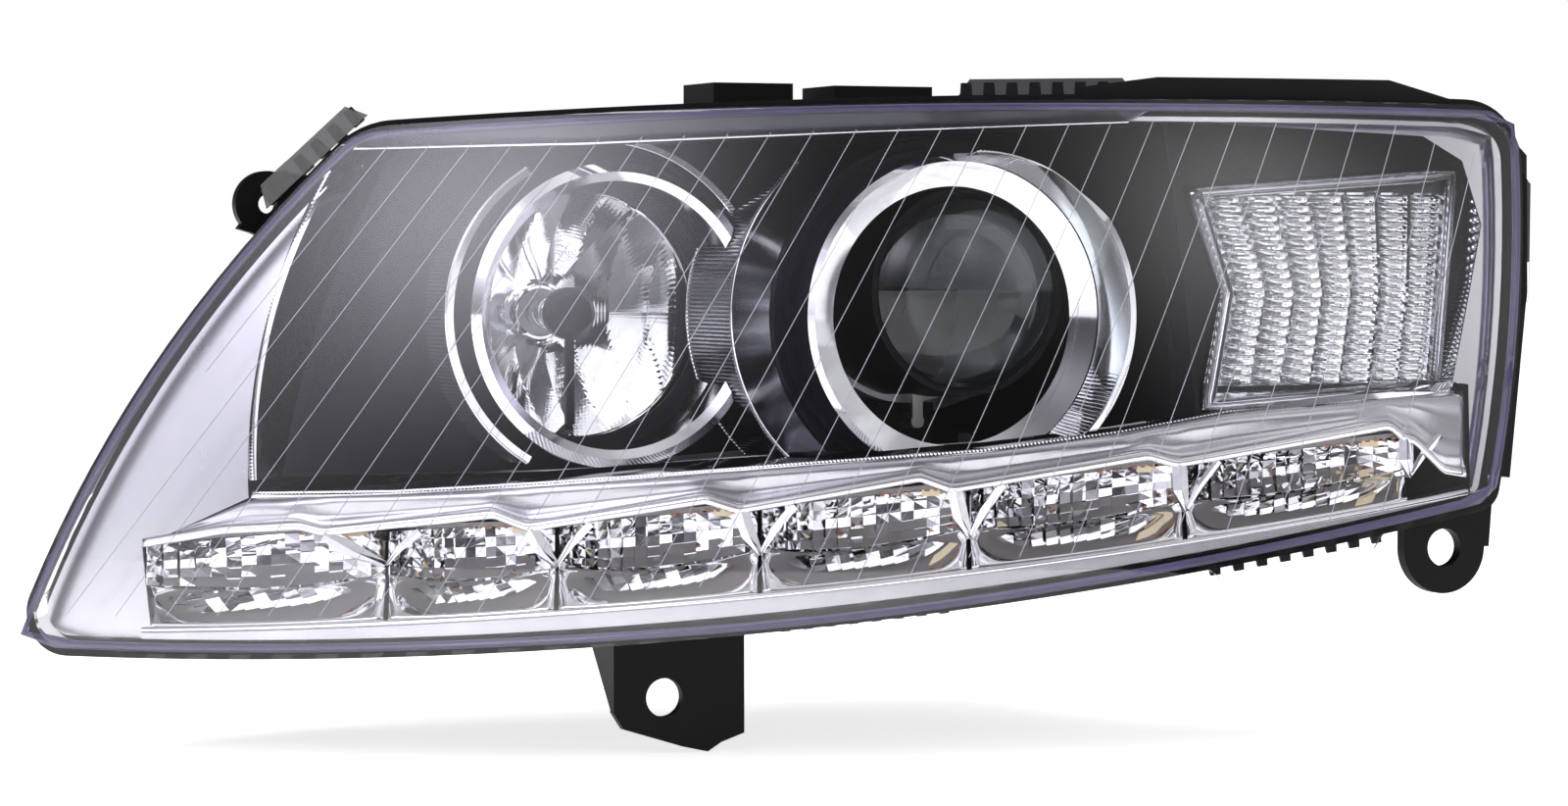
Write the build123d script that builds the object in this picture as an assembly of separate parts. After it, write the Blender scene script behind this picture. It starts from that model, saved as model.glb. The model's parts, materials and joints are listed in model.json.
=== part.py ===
"""Left-hand car headlight assembly: moulded housing, clear lens, trim, projector and high-beam units.

Millimetres. Car frame: +X inboard, +Y back into the car, -Y along the beams, +Z up. The origin is the
centre of the lower bracket's bolt hole. The lamp wraps round the car's corner, so its front pieces are
drawn in a lamp frame (u sideways, w up, d outwards) that is turned 22 degrees about Z from the car frame.
"""
from build123d import *
import os
from math import cos, pi, radians, sin, sqrt

# ---------------------------------------------------------------- driving dimensions
WRAP = 22                       # the lens faces this far outboard of straight ahead
LENS_T = 3.0                    # clear cover's wall
TRIM_T = 2.0                    # metallised trim's wall
HOUSING_T = 2.5                 # housing's wall

CROWN_U, CROWN_W, CROWN_D = 40, 105, 75     # the lens surface's foremost point, lamp frame
PLAN_R, CROWN_R, LEAN = 620, 520, 8         # its plan radius, vertical radius and backward lean
SKIRT_END = 38                              # the lens's skirt stops this far behind the crown
SEAL_H = 4                                  # rubber seal in the housing's channel

PROJ_X, PROJ_Z = 83, 138                    # projector ring's axis
HIGH_X, HIGH_Z = -24, 138                   # high-beam unit's axis
GLASS_X, GLASS_Z = 93, 146.5                # projector module's own axis
GLASS_R, GLASS_Y = 35, -60                  # projector glass and the plane of its rim
CUFF_SPREAD = 52                            # fluted cuffs cover this far either side of outboard
MASK_Y = 16                                 # black panel behind both units
REAR_Y = 132                                # rear wall of the housing
CARRIER_Y = (28, 33)                        # aiming frame's plate
PIVOT_X, PIVOT_Y, PIVOT_Z = 30, 40, 190     # upper ball joint of the aiming frame
HIGH_RING_Y = -21                           # front of the high beam's ring
LEVEL_Z = 92                                # levelling motor's ball, below the pivot
AIM_X = 142                                 # horizontal adjuster's ball, inboard of the pivot
BALL_R, BUSH_R, SMALL_BALL_R = 6, 9, 5
RUN = 0.05                                  # radial running clearance of turning and sliding fits
BOLT_R = 7                                  # mounting holes for 12 mm bolts with play
MOTOR_R, WHEEL_R = 17, 7
LOW_CAP_R, HIGH_CAP_R = 45, 41              # service openings behind the two units
FOOT_X, FOOT_Z, FOOT_Y = 281.5, 51.5, (-72, -67)        # inboard foot with its bolt hole
LUG_X, LUG_Z, LUG_Y = -128, 178, (66, 71)               # outboard lug
ROOF_X, ROOF_Y = 104, 56                                # support ledge on the roof
SOCKET_X, SOCKET_Z = (160, 186), (150, 172)             # connector's opening in the rear wall
TURN_X, TURN_Z = 228, 147                               # turn-signal bulb's axis
BALLAST_X, BALLAST_Z = (78, 170), (52, 94)
BALLAST_SCREWS = [(x, z) for x in (BALLAST_X[0] - 8, BALLAST_X[1] + 8) for z in (60, 86)]
BRACKET_SCREWS = [(-8, 18), (19, 18)]
VENTS = [(-74, 92), (176, 192)]
SHUTTER_Y, SHUTTER_Z, LEVER = -14, 121, 11              # dip shutter's hinge and the lever below it
HIGH_APEX_Y, FOCUS = 66, 12.66                          # high-beam bowl's pole and focal length
CLIP_X, CLIP_Y = HIGH_X - 22, HIGH_APEX_Y + 5.5         # bulb clip's hinge

TURN_OUTLINE = [(187, 183), (199, 146), (190, 103), (280, 110), (290, 191)]
SHELF_BACK = [(-127, 79.5), (-41, 81), (14, 85), (114.5, 91.5), (163, 97), (203, 103), (284, 112.7)]
SHELF_FRONT = [(-144, 75), (-92, 76.4), (-38, 80), (53, 87), (112, 91), (162, 97.3), (200, 103.8), (282, 110)]
CELL_ENDS = [-184, -95, -35, 35.5, 108, 184, 266]      # u of the struts between the daytime cells
BOARD_LINE = [(-184, 57), (-118, 63), (-45, 65.5), (28, 72), (102, 79), (181, 87), (266, 95)]
BROW_STRUTS = [                                        # each strut's peak, kink and tip (u, w)
    [(-126, 63), (-118, 61), (-95, 51.5)],
    [(-57, 68), (-45, 63.5), (-35, 52)],
    [(17, 73.5), (28, 70), (35.5, 56)],
    [(91, 81), (102, 77), (108, 61.5)],
    [(171, 88), (181, 85), (184, 70)],
    [(259, 97.5), (264, 93), (266, 80.5)],
]

LAMP = Plane(origin=(0, 0, 0), x_dir=(cos(radians(WRAP)), -sin(radians(WRAP)), 0),
             z_dir=(-sin(radians(WRAP)), -cos(radians(WRAP)), 0))
DEEP = 320                                             # longer than any depth of the lamp
nodes = {}


# ---------------------------------------------------------------- helpers, lamp frame
def crown(offset):
    """Everything behind the lens's outer surface moved `offset` inwards."""
    half, core = 190, 330
    edge = -offset - half ** 2 / (2 * (CROWN_R - offset))
    front = Bezier((0, -half, edge), (0, 0, -2 * offset - edge), (0, half, edge))
    back = Polyline((0, half, edge), (0, half, -core), (0, -half, -core), (0, -half, edge))
    axis = Axis((0, 0, -PLAN_R), (0, 1, 0))
    solid = revolve(make_face([front, back]).rotate(axis, -40), axis, 80)
    return Pos(CROWN_U, CROWN_W, CROWN_D) * (Rot(-LEAN, 0, 0) * solid)


def behind(depth):
    """Everything behind a vertical cylinder `depth` behind the crown; it follows the plan curve."""
    centre = Pos(CROWN_U, CROWN_W, CROWN_D - PLAN_R)
    return centre * (Rot(90, 0, 0) * Cylinder(PLAN_R - depth, 420))


def prism(sketch, low=-DEEP, high=120):
    """A lamp-frame outline as a bar along d."""
    return Pos(0, 0, low) * extrude(sketch, high - low)


def polygon(*points):
    """A flat face through the points, closed."""
    return make_face(Polyline(*points, close=True))


def shell(sketch, offset, thickness=TRIM_T):
    """A sheet of the given outline that follows the lens at `offset` behind its outer surface."""
    return prism(sketch) & (crown(offset) - crown(offset + thickness))


def car(solid):
    """From the lamp frame to the car frame."""
    return LAMP.location * solid


def lamp(solid):
    """From the car frame to the lamp frame."""
    return LAMP.location.inverse() * solid


def lens_outline(grow=0.0):
    """The cover's outline, where four large discs overlap, with rounded corners; grown or shrunk evenly."""
    tip, low, high, top = (-233.5, 17.5), (297, 70), (311, 213.5), (-105.5, 204.5)
    face = Pos(40, 110) * Circle(400)
    for start, middle, end in ((tip, (30, 29.5), low), (low, (308.5, 145), high),
                               (high, (112, 213.5), top), (top, (-186, 110), tip)):
        side = ThreePointArc(start, middle, end)
        face = face & Pos(side.arc_center) * Circle(side.radius + grow)
    for corner, radius in ((tip, 15), (low, 9), (high, 20), (top, 30)):
        near = face.vertices().sort_by_distance((corner[0], corner[1], 0))[0]
        face = fillet(near, radius + grow)
    return face


def crown_depth(u, w, offset):
    """d of the lens surface moved `offset` inwards, at a lamp-frame u and w."""
    depth = CROWN_D - offset
    lean = radians(LEAN)
    for _ in range(12):
        across = (w - CROWN_W) * cos(lean) - (depth - CROWN_D) * sin(lean)
        radius = PLAN_R - offset - across ** 2 / (2 * (CROWN_R - offset))
        out = sqrt(radius ** 2 - (u - CROWN_U) ** 2) - PLAN_R
        depth = CROWN_D + out * cos(lean) - across * sin(lean)
    return depth


def line_height(line, u):
    """w of a polyline at u."""
    for (u0, w0), (u1, w1) in zip(line, line[1:]):
        if u <= u1:
            return w0 + (w1 - w0) * (u - u0) / (u1 - u0)
    return line[-1][1]


def lip_height(u):
    """w of the bright lip below the daytime lights."""
    return 26.5 + 0.1027 * (u + 184) - 0.00013 * (u + 184) * (288 - u)


# ---------------------------------------------------------------- helpers, car frame
def turned(profile, x, z, start=0, sweep=360):
    """Turn an (r, y) profile about a beam axis; angles run from +X towards +Z."""
    face = make_face(Polyline(*[(r, y, 0) for r, y in profile], close=True))
    solid = revolve(face, Axis((0, 0, 0), (0, -1, 0)), sweep)
    return Pos(x, 0, z) * (Rot(0, -start, 0) * solid)


def rod_y(radius, y0, y1, x=0, z=0):
    """A round bar along Y."""
    return Pos(x, (y0 + y1) / 2, z) * (Rot(90, 0, 0) * Cylinder(radius, abs(y1 - y0)))


def tube_y(outer, inner, y0, y1, x=0, z=0):
    """A tube along Y."""
    return rod_y(outer, y0, y1, x, z) - rod_y(inner, min(y0, y1) - 1, max(y0, y1) + 1, x, z)


def block(x0, x1, y0, y1, z0, z1):
    """A box between two corners."""
    return Pos((x0 + x1) / 2, (y0 + y1) / 2, (z0 + z1) / 2) * Box(x1 - x0, y1 - y0, z1 - z0)


def plate_y(outline, y0, y1):
    """An (x, z) outline as a plate between two Y planes."""
    face = make_face(Polyline(*[(x, y0, z) for x, z in outline], close=True))
    return extrude(face, y1 - y0, dir=(0, 1, 0))


def screw(x, y, z, length, direction=(0, -1, 0), head_r=6.5, shank_r=3):
    """A flange-head screw whose head's underside is at the point; it drives along `direction`."""
    frame = Plane(origin=(x, y, z), z_dir=direction)
    shank = Pos(0, 0, length / 2) * Cylinder(shank_r, length)
    flange = Pos(0, 0, -0.75) * Cylinder(head_r, 1.5)
    hexagon = extrude(RegularPolygon(head_r - 1.5, 6), -5)
    return frame.location * (shank + flange + hexagon)


# ---------------------------------------------------------------- lens, seal and housing
def make_lens():
    """Clear cover: a domed face with a skirt that reaches back to the housing's channel."""
    body = (prism(lens_outline()) & crown(0)) - behind(SKIRT_END)
    return body - (prism(lens_outline(-LENS_T)) & crown(LENS_T))


def make_seal():
    """Rubber bead between the skirt's end and the channel's floor."""
    ring = prism(lens_outline(-0.2)) - prism(lens_outline(-LENS_T))
    return (ring & behind(SKIRT_END)) - behind(SKIRT_END + SEAL_H)


def plan_bar(inset):
    """The housing in plan: shallow outboard, deep behind the units, shallow again behind the turn signal."""
    deep = REAR_Y - inset
    plan = [(-236, 20), (-206, 84 - inset), (-150, 108 - inset), (-95, deep), (196 - inset, deep),
            (206 - inset, 10 - inset), (262, -8 - inset), (330, -40 - inset), (330, -160), (-236, -160)]
    face = make_face(Polyline(*[(x, y, 0) for x, y in plan], close=True))
    return lamp(extrude(face, 260))


def lip_outline():
    """The channel's outer edge: close to the lens outboard and below, prouder on top and inboard."""
    proud = polygon((150, 190), (150, 219), (176, 222.5), (262, 222.5), (300, 212), (316, 196),
                    (316.5, 146), (310, 78), (290, 80))
    return lens_outline(2.2) + proud


def outside(piece):
    """What is left of a lug once the housing it is welded to is taken away."""
    return (piece - nodes["housing"]).solids().sort_by(SortBy.VOLUME)[-1]


def make_foot():
    """Inboard foot: an eye with a web up to the housing's wall."""
    x, z = FOOT_X, FOOT_Z
    web = plate_y([(x - 17, z), (x - 17, z + 8), (x - 4, z + 24), (x + 12, z + 30), (x + 21, z + 26),
                   (x + 19, z)], *FOOT_Y)
    return outside(rod_y(17, *FOOT_Y, x, z) + web - rod_y(BOLT_R, -80, -60, x, z))


def make_lug():
    """Outboard lug: a small eye on a web."""
    x, z = LUG_X, LUG_Z
    web = plate_y([(x - 11, z - 9), (x + 34, z - 22), (x + 34, z + 8), (x + 5, z + 12)], *LUG_Y)
    return outside(rod_y(12, *LUG_Y, x, z) + web - rod_y(3.5, 50, 90, x, z))


def make_ledge():
    """Support ledge on the roof."""
    return outside(block(ROOF_X - 20, ROOF_X + 20, ROOF_Y - 16, ROOF_Y + 16, 205, 223))


def make_housing():
    """One moulding: body, channel for the lens, cap collars and bosses."""
    floor_end = SKIRT_END + SEAL_H
    body = prism(lens_outline(-3.2)) & behind(floor_end) & plan_bar(0)
    cavity = prism(lens_outline(-3.2 - HOUSING_T)) & plan_bar(HOUSING_T)
    floor = (prism(lip_outline()) - prism(lens_outline(-6))) & behind(floor_end)
    lip = (prism(lip_outline()) - prism(lens_outline(0.4))) & behind(SKIRT_END - 3)
    channel = (floor + lip) - behind(floor_end + 3)
    housing = car((body - cavity) + channel)
    for x, z, radius in ((GLASS_X, GLASS_Z, LOW_CAP_R), (HIGH_X, HIGH_Z, HIGH_CAP_R)):
        housing = housing + tube_y(radius + 4, radius, REAR_Y - 4, REAR_Y + 12, x, z)
        housing = housing - rod_y(radius, REAR_Y - 10, REAR_Y + 20, x, z)
    housing = housing + rod_y(20, -22, 11, TURN_X, TURN_Z) + block(40, 72, 52, 84, 205, 224)
    housing = housing + block(-19.4, 31, 4, 32, 26, 34)
    holes = [rod_y(12.5, -40, 20, TURN_X, TURN_Z), rod_y(17, -40, 5, TURN_X, TURN_Z),
             rod_y(MOTOR_R + 0.5, REAR_Y - 10, REAR_Y + 10, PIVOT_X, LEVEL_Z),
             rod_y(WHEEL_R + RUN, REAR_Y - 10, REAR_Y + 10, AIM_X, PIVOT_Z),
             block(*SOCKET_X, REAR_Y - 10, REAR_Y + 10, *SOCKET_Z)]
    holes += [rod_y(5, REAR_Y - 10, REAR_Y + 10, x, z) for x, z in VENTS]
    holes += [rod_y(3 + RUN, REAR_Y - 10, REAR_Y + 10, x, z) for x, z in BALLAST_SCREWS]
    holes += [Pos(x, y, 30) * Cylinder(3 + RUN, 20) for x, y in BRACKET_SCREWS]
    return housing - holes


def make_bracket():
    """Steel foot under the housing: a bolt plate square to the beams and a flange turned back."""
    outline = [(-19.4, 26), (-19.4, -5), (-15.5, -11), (7, -18), (16.8, -20.2), (22, -17), (31, -13.9),
               (31, 26)]
    cheek = make_face(Polyline((0, 2, -4), (0, 2, 22), (0, 26, 22), close=True))
    bracket = plate_y(outline, -2, 2) + block(-19.4, 31, 2, 30, 22, 26)
    bracket = bracket + [Pos(x, 0, 0) * extrude(cheek, 3, dir=(1, 0, 0)) for x in (-19.4, 28)]
    holes = [Pos(x, y, 24) * Cylinder(3.2, 12) for x, y in BRACKET_SCREWS]
    return bracket - rod_y(BOLT_R, -5, 5) - holes


# ---------------------------------------------------------------- trim that follows the lens
def make_side_panel():
    """Satin panel outboard of the high beam, from the lens's tip up to its top corner."""
    edge = ThreePointArc((-113, 199), (-139, 135.5), (-144.5, 74))
    rest = Polyline((-144.5, 74), (-184, 56), (-178, 5), (-260, 5), (-260, 225), (-113, 225), (-113, 199))
    return shell(make_face([edge, rest]) & lens_outline(-6), 14)


def make_outboard_flute():
    """Fluted band that falls from the side panel's edge to the black panel."""
    front = ThreePointArc((-112, 197, 19), (-138.5, 135.5, 27), (-143.5, 80, 33))
    back = ThreePointArc((-108, 191, 4), (-131, 136, 3), (-126, 80.5, 2))
    return thicken(Face.make_surface_from_curves(front, back), TRIM_T) & prism(lens_outline(-6.5))


def make_upper_trim():
    """Bright rail along the top and down the inboard edge."""
    rail = polygon((-106, 230), (-106, 196.5), (-25, 198.2), (78, 202.6), (165.5, 206.1), (190, 206.3),
                   (275, 202.2), (289.8, 193.4), (296.2, 170.2), (283, 114), (289, 113), (289, 60),
                   (330, 60), (330, 230))
    return shell(rail & lens_outline(-6), 14)


def make_shelf():
    """Ledge that closes the bottom of the black panel; its rear strip is finely fluted."""
    front = Spline(*[(u, w, crown_depth(u, w, 17)) for u, w in SHELF_FRONT])
    back = Spline(*[(u, w, 2) for u, w in SHELF_BACK])
    return thicken(Face.make_surface_from_curves(front, back), -TRIM_T)


def make_brow():
    """Satin brow over the daytime lights, with a pointed strut between each two cells."""
    edge = [(288, 112), (288, 79), (275, 80)]
    for peak, kink, tip in reversed(BROW_STRUTS):
        edge += [(kink[0] + 6, kink[1] + 1), tip, kink, peak]
    edge += [(-154, 61), (-183.6, 55.6), (-144, 73.6)]
    top = [(u, w - 0.5) for u, w in SHELF_FRONT[1:]]
    return shell(polygon(*edge, *top), 14)


def make_lower_trim():
    """Bright lip and plain strip below the daytime lights."""
    lip = ThreePointArc((-184, 26.5), (28, 41), (288, 75))
    rest = Polyline((288, 75), (330, 75), (330, -20), (-177, -20), (-184, 26.5))
    return shell(make_face([lip, rest]) & lens_outline(-6), 10)


def make_mask():
    """Black tub behind both units, with a plate round the turn signal."""
    outer = [(-142, 74), (-142, 150), (-118, 194), (-60, 199), (162, 207.5), (162, 74)]
    inner = [(-150, 60), (-150, 148.5), (-119.5, 191.5), (-60, 196.8), (160, 205.3), (160, 60)]
    tub = plate_y(outer, -120, MASK_Y + TRIM_T) - plate_y(inner, -130, MASK_Y)
    tub = lamp(tub) & crown(18) & prism(lens_outline(-7.5))
    window = polygon((177, 202), (181, 104.5), (203, 105), (284, 114.5), (296, 168), (296, 197), (282, 204))
    plate = shell(window - offset(polygon(*TURN_OUTLINE), 1), 30)
    openings = [rod_y(60, 0, 40, PROJ_X, PROJ_Z), rod_y(44, 0, 40, HIGH_X, HIGH_Z),
                rod_y(65.5, -14, 14, HIGH_X - 3, HIGH_Z - 1)]
    return tub - below_shelf() + plate - [lamp(hole) for hole in openings]


def below_shelf():
    """Everything under the shelf's ledge: fixed rings and the black panel stop here."""
    line = SHELF_BACK
    return prism(polygon((-150, 82), *[(u, w + 2) for u, w in line], (300, 114), (300, -40), (-150, -40)))


# ---------------------------------------------------------------- daytime lights
def led_place(end):
    """Where the emitter hangs in the cell that ends at u = `end`."""
    u = end - 13
    w = line_height(BOARD_LINE, u)
    return Pos(u, w - 1.7, crown_depth(u, w, 27))


def make_drl_cell(start, end):
    """One cell: a block with a bowl in it, open above for its light-emitting diode."""
    low, high = start + 0.8, end - 0.8
    outline = polygon((low, lip_height(low) + 1), (high, lip_height(high) + 1),
                      (high, line_height(BOARD_LINE, high) - 1.5), (low, line_height(BOARD_LINE, low) - 1.5))
    middle = (low + high) / 2
    height = (lip_height(middle) + line_height(BOARD_LINE, middle)) / 2
    bowl = Sphere(min((high - low) / 2 - 1.2, 34))
    depth = crown_depth(middle, height, 12)
    pocket = led_place(end) * Box(8, 9, 8)
    return shell(outline, 19, 32) - Pos(middle, height, depth) * bowl - pocket


def make_drl_reflector():
    """The six cells side by side."""
    return Part() + [make_drl_cell(start, end) for start, end in zip(CELL_ENDS, CELL_ENDS[1:])]


def make_drl_board():
    """Circuit board over the cells; the diodes hang from its underside."""
    strip = [(u, w + 1.6) for u, w in BOARD_LINE]
    return shell(polygon(*BOARD_LINE, *reversed(strip)), 18, 24)


def make_drl_leds():
    """One emitter near the inboard end of each cell."""
    chips = Part()
    for end in CELL_ENDS[1:]:
        chips = chips + led_place(end) * Box(6, 2.2, 5)
    return chips


# ---------------------------------------------------------------- fixed rings round the two units
def beam_ring(profile, x, z, start=0, sweep=360):
    """A turned ring cut off where it meets the shelf."""
    return lamp(turned(profile, x, z, start, sweep)) - below_shelf()


def make_projector_ring():
    return beam_ring([(45.5, -70), (54.2, -74.5), (56, -72.2), (47.5, -66)], PROJ_X, PROJ_Z)


def make_projector_sleeve():
    profile = [(54.6, -70.5), (56, -70.5), (56, -60), (59, -60), (59, -55), (62, -55), (62, MASK_Y),
               (60, MASK_Y), (60, -53.5), (57.4, -53.5), (57.4, -58.5), (54.6, -58.5)]
    return beam_ring(profile, PROJ_X, PROJ_Z)


def make_projector_cuff():
    profile = [(62.3, -52), (69, -32), (69, 11), (66.5, 11), (66.5, -31), (62.3, -48)]
    return beam_ring(profile, PROJ_X, PROJ_Z, 180 - CUFF_SPREAD, 2 * CUFF_SPREAD)


def make_projector_collar():
    profile = [(54.6, -75), (56.8, -75), (60, -94), (57.8, -94)]
    return beam_ring(profile, PROJ_X, PROJ_Z, -50, 142) & crown(11)


def clear_of_projector(solid):
    """The high-beam rings stop short of the projector's cuff, which stands in front of them."""
    return solid - lamp(rod_y(70, -60, 40, PROJ_X, PROJ_Z))


def make_high_sleeve():
    profile = [(48.5, -18), (50.5, -18), (50.5, 0), (51.5, MASK_Y), (47, MASK_Y), (48.5, 0)]
    return clear_of_projector(beam_ring(profile, HIGH_X, HIGH_Z))


def make_high_ring():
    y = HIGH_RING_Y
    profile = [(47.5, y + 2), (50.7, y), (54, y + 2), (54, y + 8), (50.7, y + 8), (50.7, y + 2.8),
               (48.3, y + 2.8)]
    return clear_of_projector(beam_ring(profile, HIGH_X, HIGH_Z))


def make_high_cuff():
    profile = [(57.5, -10), (60, -10), (60, MASK_Y), (57.5, MASK_Y)]
    return beam_ring(profile, HIGH_X, HIGH_Z, 180 - CUFF_SPREAD - 8, 2 * CUFF_SPREAD + 16)


def make_high_collar():
    profile = [(57.6, 12), (59.8, 12), (64.4, -10), (62.4, -10)]
    return clear_of_projector(beam_ring(profile, HIGH_X - 3, HIGH_Z - 1, 32, 66))


# ---------------------------------------------------------------- projector module, car frame
def make_projector_glass():
    """Flat-backed lens with a domed front."""
    y, bulge = GLASS_Y, 13
    dome = Bezier((GLASS_R, y), (GLASS_R * 0.6, y - bulge), (0, y - bulge))
    rim = Polyline((0, y - bulge), (0, y + 3), (GLASS_R, y + 3), (GLASS_R, y))
    solid = revolve(make_face([dome, rim]), Axis((0, 0, 0), (0, -1, 0)), 360)
    return Pos(GLASS_X, 0, GLASS_Z) * solid


def make_glass_holder():
    """Black barrel that carries the glass, cut away below for the shutter's lever."""
    y = GLASS_Y
    profile = [(GLASS_R + 0.1, y - 1), (37, y - 1), (39, -8), (37.2, -8), (35.6, y + 6), (31, y + 6), (31, y + 3.1),
               (GLASS_R + 0.1, y + 3.1)]
    barrel = turned(profile, GLASS_X, GLASS_Z)
    return barrel - block(GLASS_X - 9, GLASS_X + 9, -32, 0, GLASS_Z - 45, GLASS_Z - 30)


def make_projector_bowl():
    """Elliptical reflector in a drum whose rear rim seats on the aiming frame."""
    drum = [(36, -7.8), (41, -7.8), (41, CARRIER_Y[0]), (38.8, CARRIER_Y[0]), (38.8, -5.6), (36, -5.6)]
    near, far = [], []
    for step in range(7):
        turn = pi / 2 * step / 7
        near.append((35.5 * cos(turn), -5.6 + 52 * sin(turn)))
        far.append((37.3 * cos(turn), -5.6 + 54 * sin(turn)))
    neck = [(9.2, 44), (9.2, 50), (17, 50), (17, 48.5), (12, 47.5)]
    bowl = turned(near + neck + far[::-1], GLASS_X, GLASS_Z)
    return turned(drum, GLASS_X, GLASS_Z) + bowl


def make_shutter():
    """Dip shutter: a blade on a cross shaft with a short lever below."""
    y, z = SHUTTER_Y, SHUTTER_Z
    blade = block(GLASS_X - 20, GLASS_X + 20, y - 0.6, y + 0.6, z, GLASS_Z)
    lever = block(GLASS_X - 3, GLASS_X + 3, y - 0.6, y + 0.6, z - LEVER, z)
    shaft = Pos(GLASS_X, y, z) * (Rot(0, 90, 0) * Cylinder(1.5, 44))
    return blade + lever + shaft


def make_solenoid():
    """Shutter magnet under the drum with a bore for its plunger."""
    y0 = -7.8
    case = block(GLASS_X - 11, GLASS_X + 11, y0 + 2, 20, GLASS_Z - 56, GLASS_Z - 41.2)
    return case - rod_y(2.5 + RUN, y0, 14, GLASS_X, SHUTTER_Z - 22)


def make_plunger():
    """Magnet's plunger with an upright finger in front of the shutter's lever."""
    front, z = SHUTTER_Y - 3, SHUTTER_Z - 22
    finger = block(GLASS_X - 2, GLASS_X + 2, front, front + 2, z - 2, SHUTTER_Z - LEVER + 1)
    return rod_y(2.5, front, 3, GLASS_X, z) + finger


def make_xenon_glass():
    profile = [(0, 14), (2.5, 14), (5, 24), (5, 30), (3, 40), (3, 50.2), (0, 50.2)]
    return turned(profile, GLASS_X, GLASS_Z)


def make_xenon_base():
    """Ceramic-coloured base with its square igniter."""
    seat = rod_y(18, 50.2, 56, GLASS_X, GLASS_Z)
    box = block(GLASS_X - 16, GLASS_X + 16, 60, 88, GLASS_Z - 16, GLASS_Z + 16)
    return seat + rod_y(13, 56, 60, GLASS_X, GLASS_Z) + box


def make_lock_ring():
    ring = tube_y(24, 18 + RUN, 50.4, 55, GLASS_X, GLASS_Z)
    tabs = [Rot(0, turn, 0) * block(23, 30, 51, 54.5, -4, 4) for turn in (0, 180)]
    return ring + [Pos(GLASS_X, 0, GLASS_Z) * tab for tab in tabs]


# ---------------------------------------------------------------- high-beam module, car frame
def paraboloid(thickness):
    """(r, y) points of the bowl from its rim to the bulb's hole, moved outwards by `thickness`."""
    radii = [45, 38, 31, 24, 17, 10]
    return [(r + thickness * 0.8, HIGH_APEX_Y - r * r / (4 * FOCUS) + thickness * 0.6) for r in radii]


def make_high_bowl():
    """Parabolic reflector with a rim flange that seats on the aiming frame."""
    y = CARRIER_Y[0]
    flange = [(51, y - 2), (51, y), (46.4, y)]
    bowl = turned(paraboloid(0) + paraboloid(1.8)[::-1] + flange[::-1], HIGH_X, HIGH_Z)
    collar = tube_y(14, 9, HIGH_APEX_Y - 1, HIGH_APEX_Y + 2, HIGH_X, HIGH_Z)
    ear = block(HIGH_X - 24, HIGH_X - 13, HIGH_APEX_Y, HIGH_APEX_Y + 2, HIGH_Z - 19, HIGH_Z + 19)
    pin = block(HIGH_X - 24, HIGH_X - 20, HIGH_APEX_Y + 2, HIGH_APEX_Y + 8, HIGH_Z - 4, HIGH_Z + 4)
    slot = Pos(CLIP_X, CLIP_Y, HIGH_Z) * Cylinder(0.9 + RUN, 20)
    hole = rod_y(9, HIGH_APEX_Y - 30, HIGH_APEX_Y + 10, HIGH_X, HIGH_Z)
    return bowl + collar + ear + pin - slot - hole


def make_high_glass():
    profile = [(0, 34), (4.5, 36), (6.2, 40), (6.2, 58), (5, 66), (5, 68), (0, 68)]
    return turned(profile, HIGH_X, HIGH_Z)


def make_high_base():
    flange = rod_y(12.5, 68, 70, HIGH_X, HIGH_Z)
    return flange + rod_y(9, 70, 84, HIGH_X, HIGH_Z) + block(HIGH_X - 5, HIGH_X + 5, 84, 92, HIGH_Z - 6, HIGH_Z + 6)


def make_clip():
    """Sprung wire that holds the bulb: a cross pin, two legs and a bow beyond the bulb."""
    y, reach, half = CLIP_Y, 38, 15
    wire = Pos(CLIP_X, y, HIGH_Z) * Cylinder(0.9, 2 * half)
    for side in (-half, half):
        wire = wire + Pos(CLIP_X + reach / 2, y, HIGH_Z + side) * (Rot(0, 90, 0) * Cylinder(0.9, reach))
    return wire + Pos(CLIP_X + reach, y, HIGH_Z) * Cylinder(0.9, 2 * half)


def make_shield():
    """Cap in front of the bulb on a leg from the bowl's rim."""
    cap = turned([(0, 26), (7, 27), (9.5, 31), (9.5, 35), (8.5, 35), (8.5, 31.5), (6.5, 28.5), (0, 27.5)],
                 HIGH_X, HIGH_Z)
    return cap + block(HIGH_X - 1.5, HIGH_X + 1.5, 31, 33.5, HIGH_Z - 40.3, HIGH_Z - 9)


# ---------------------------------------------------------------- aiming frame and levelling
def ball_at(radius, x, z):
    return Pos(x, PIVOT_Y, z) * Sphere(radius)


def make_carrier():
    """Plate with a window for each module and three sockets on its back."""
    plate = plate_y([(-80, 105), (-62, 184), (16, 200), (152, 200), (152, 150), (142, 108), (60, 82), (10, 82),
                     (-50, 90)], *CARRIER_Y)
    plate = plate - rod_y(37.5, 20, 40, GLASS_X, GLASS_Z) - rod_y(46.6, 20, 40, HIGH_X, HIGH_Z)
    plate = plate + rod_y(12, CARRIER_Y[1], PIVOT_Y + 6, PIVOT_X, PIVOT_Z)
    plate = plate - ball_at(BUSH_R + RUN, PIVOT_X, PIVOT_Z)
    for x, z in ((PIVOT_X, LEVEL_Z), (AIM_X, PIVOT_Z)):
        plate = plate + rod_y(8, CARRIER_Y[1], PIVOT_Y + 3.5, x, z) - ball_at(SMALL_BALL_R + 0.4, x, z)
    return plate


def make_bush():
    """Plastic liner between the pivot's ball and the aiming frame's socket."""
    liner = ball_at(BUSH_R, PIVOT_X, PIVOT_Z) - ball_at(BALL_R + RUN, PIVOT_X, PIVOT_Z)
    return liner & rod_y(BUSH_R, PIVOT_Y - 7.5, PIVOT_Y + 4.5, PIVOT_X, PIVOT_Z)


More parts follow.
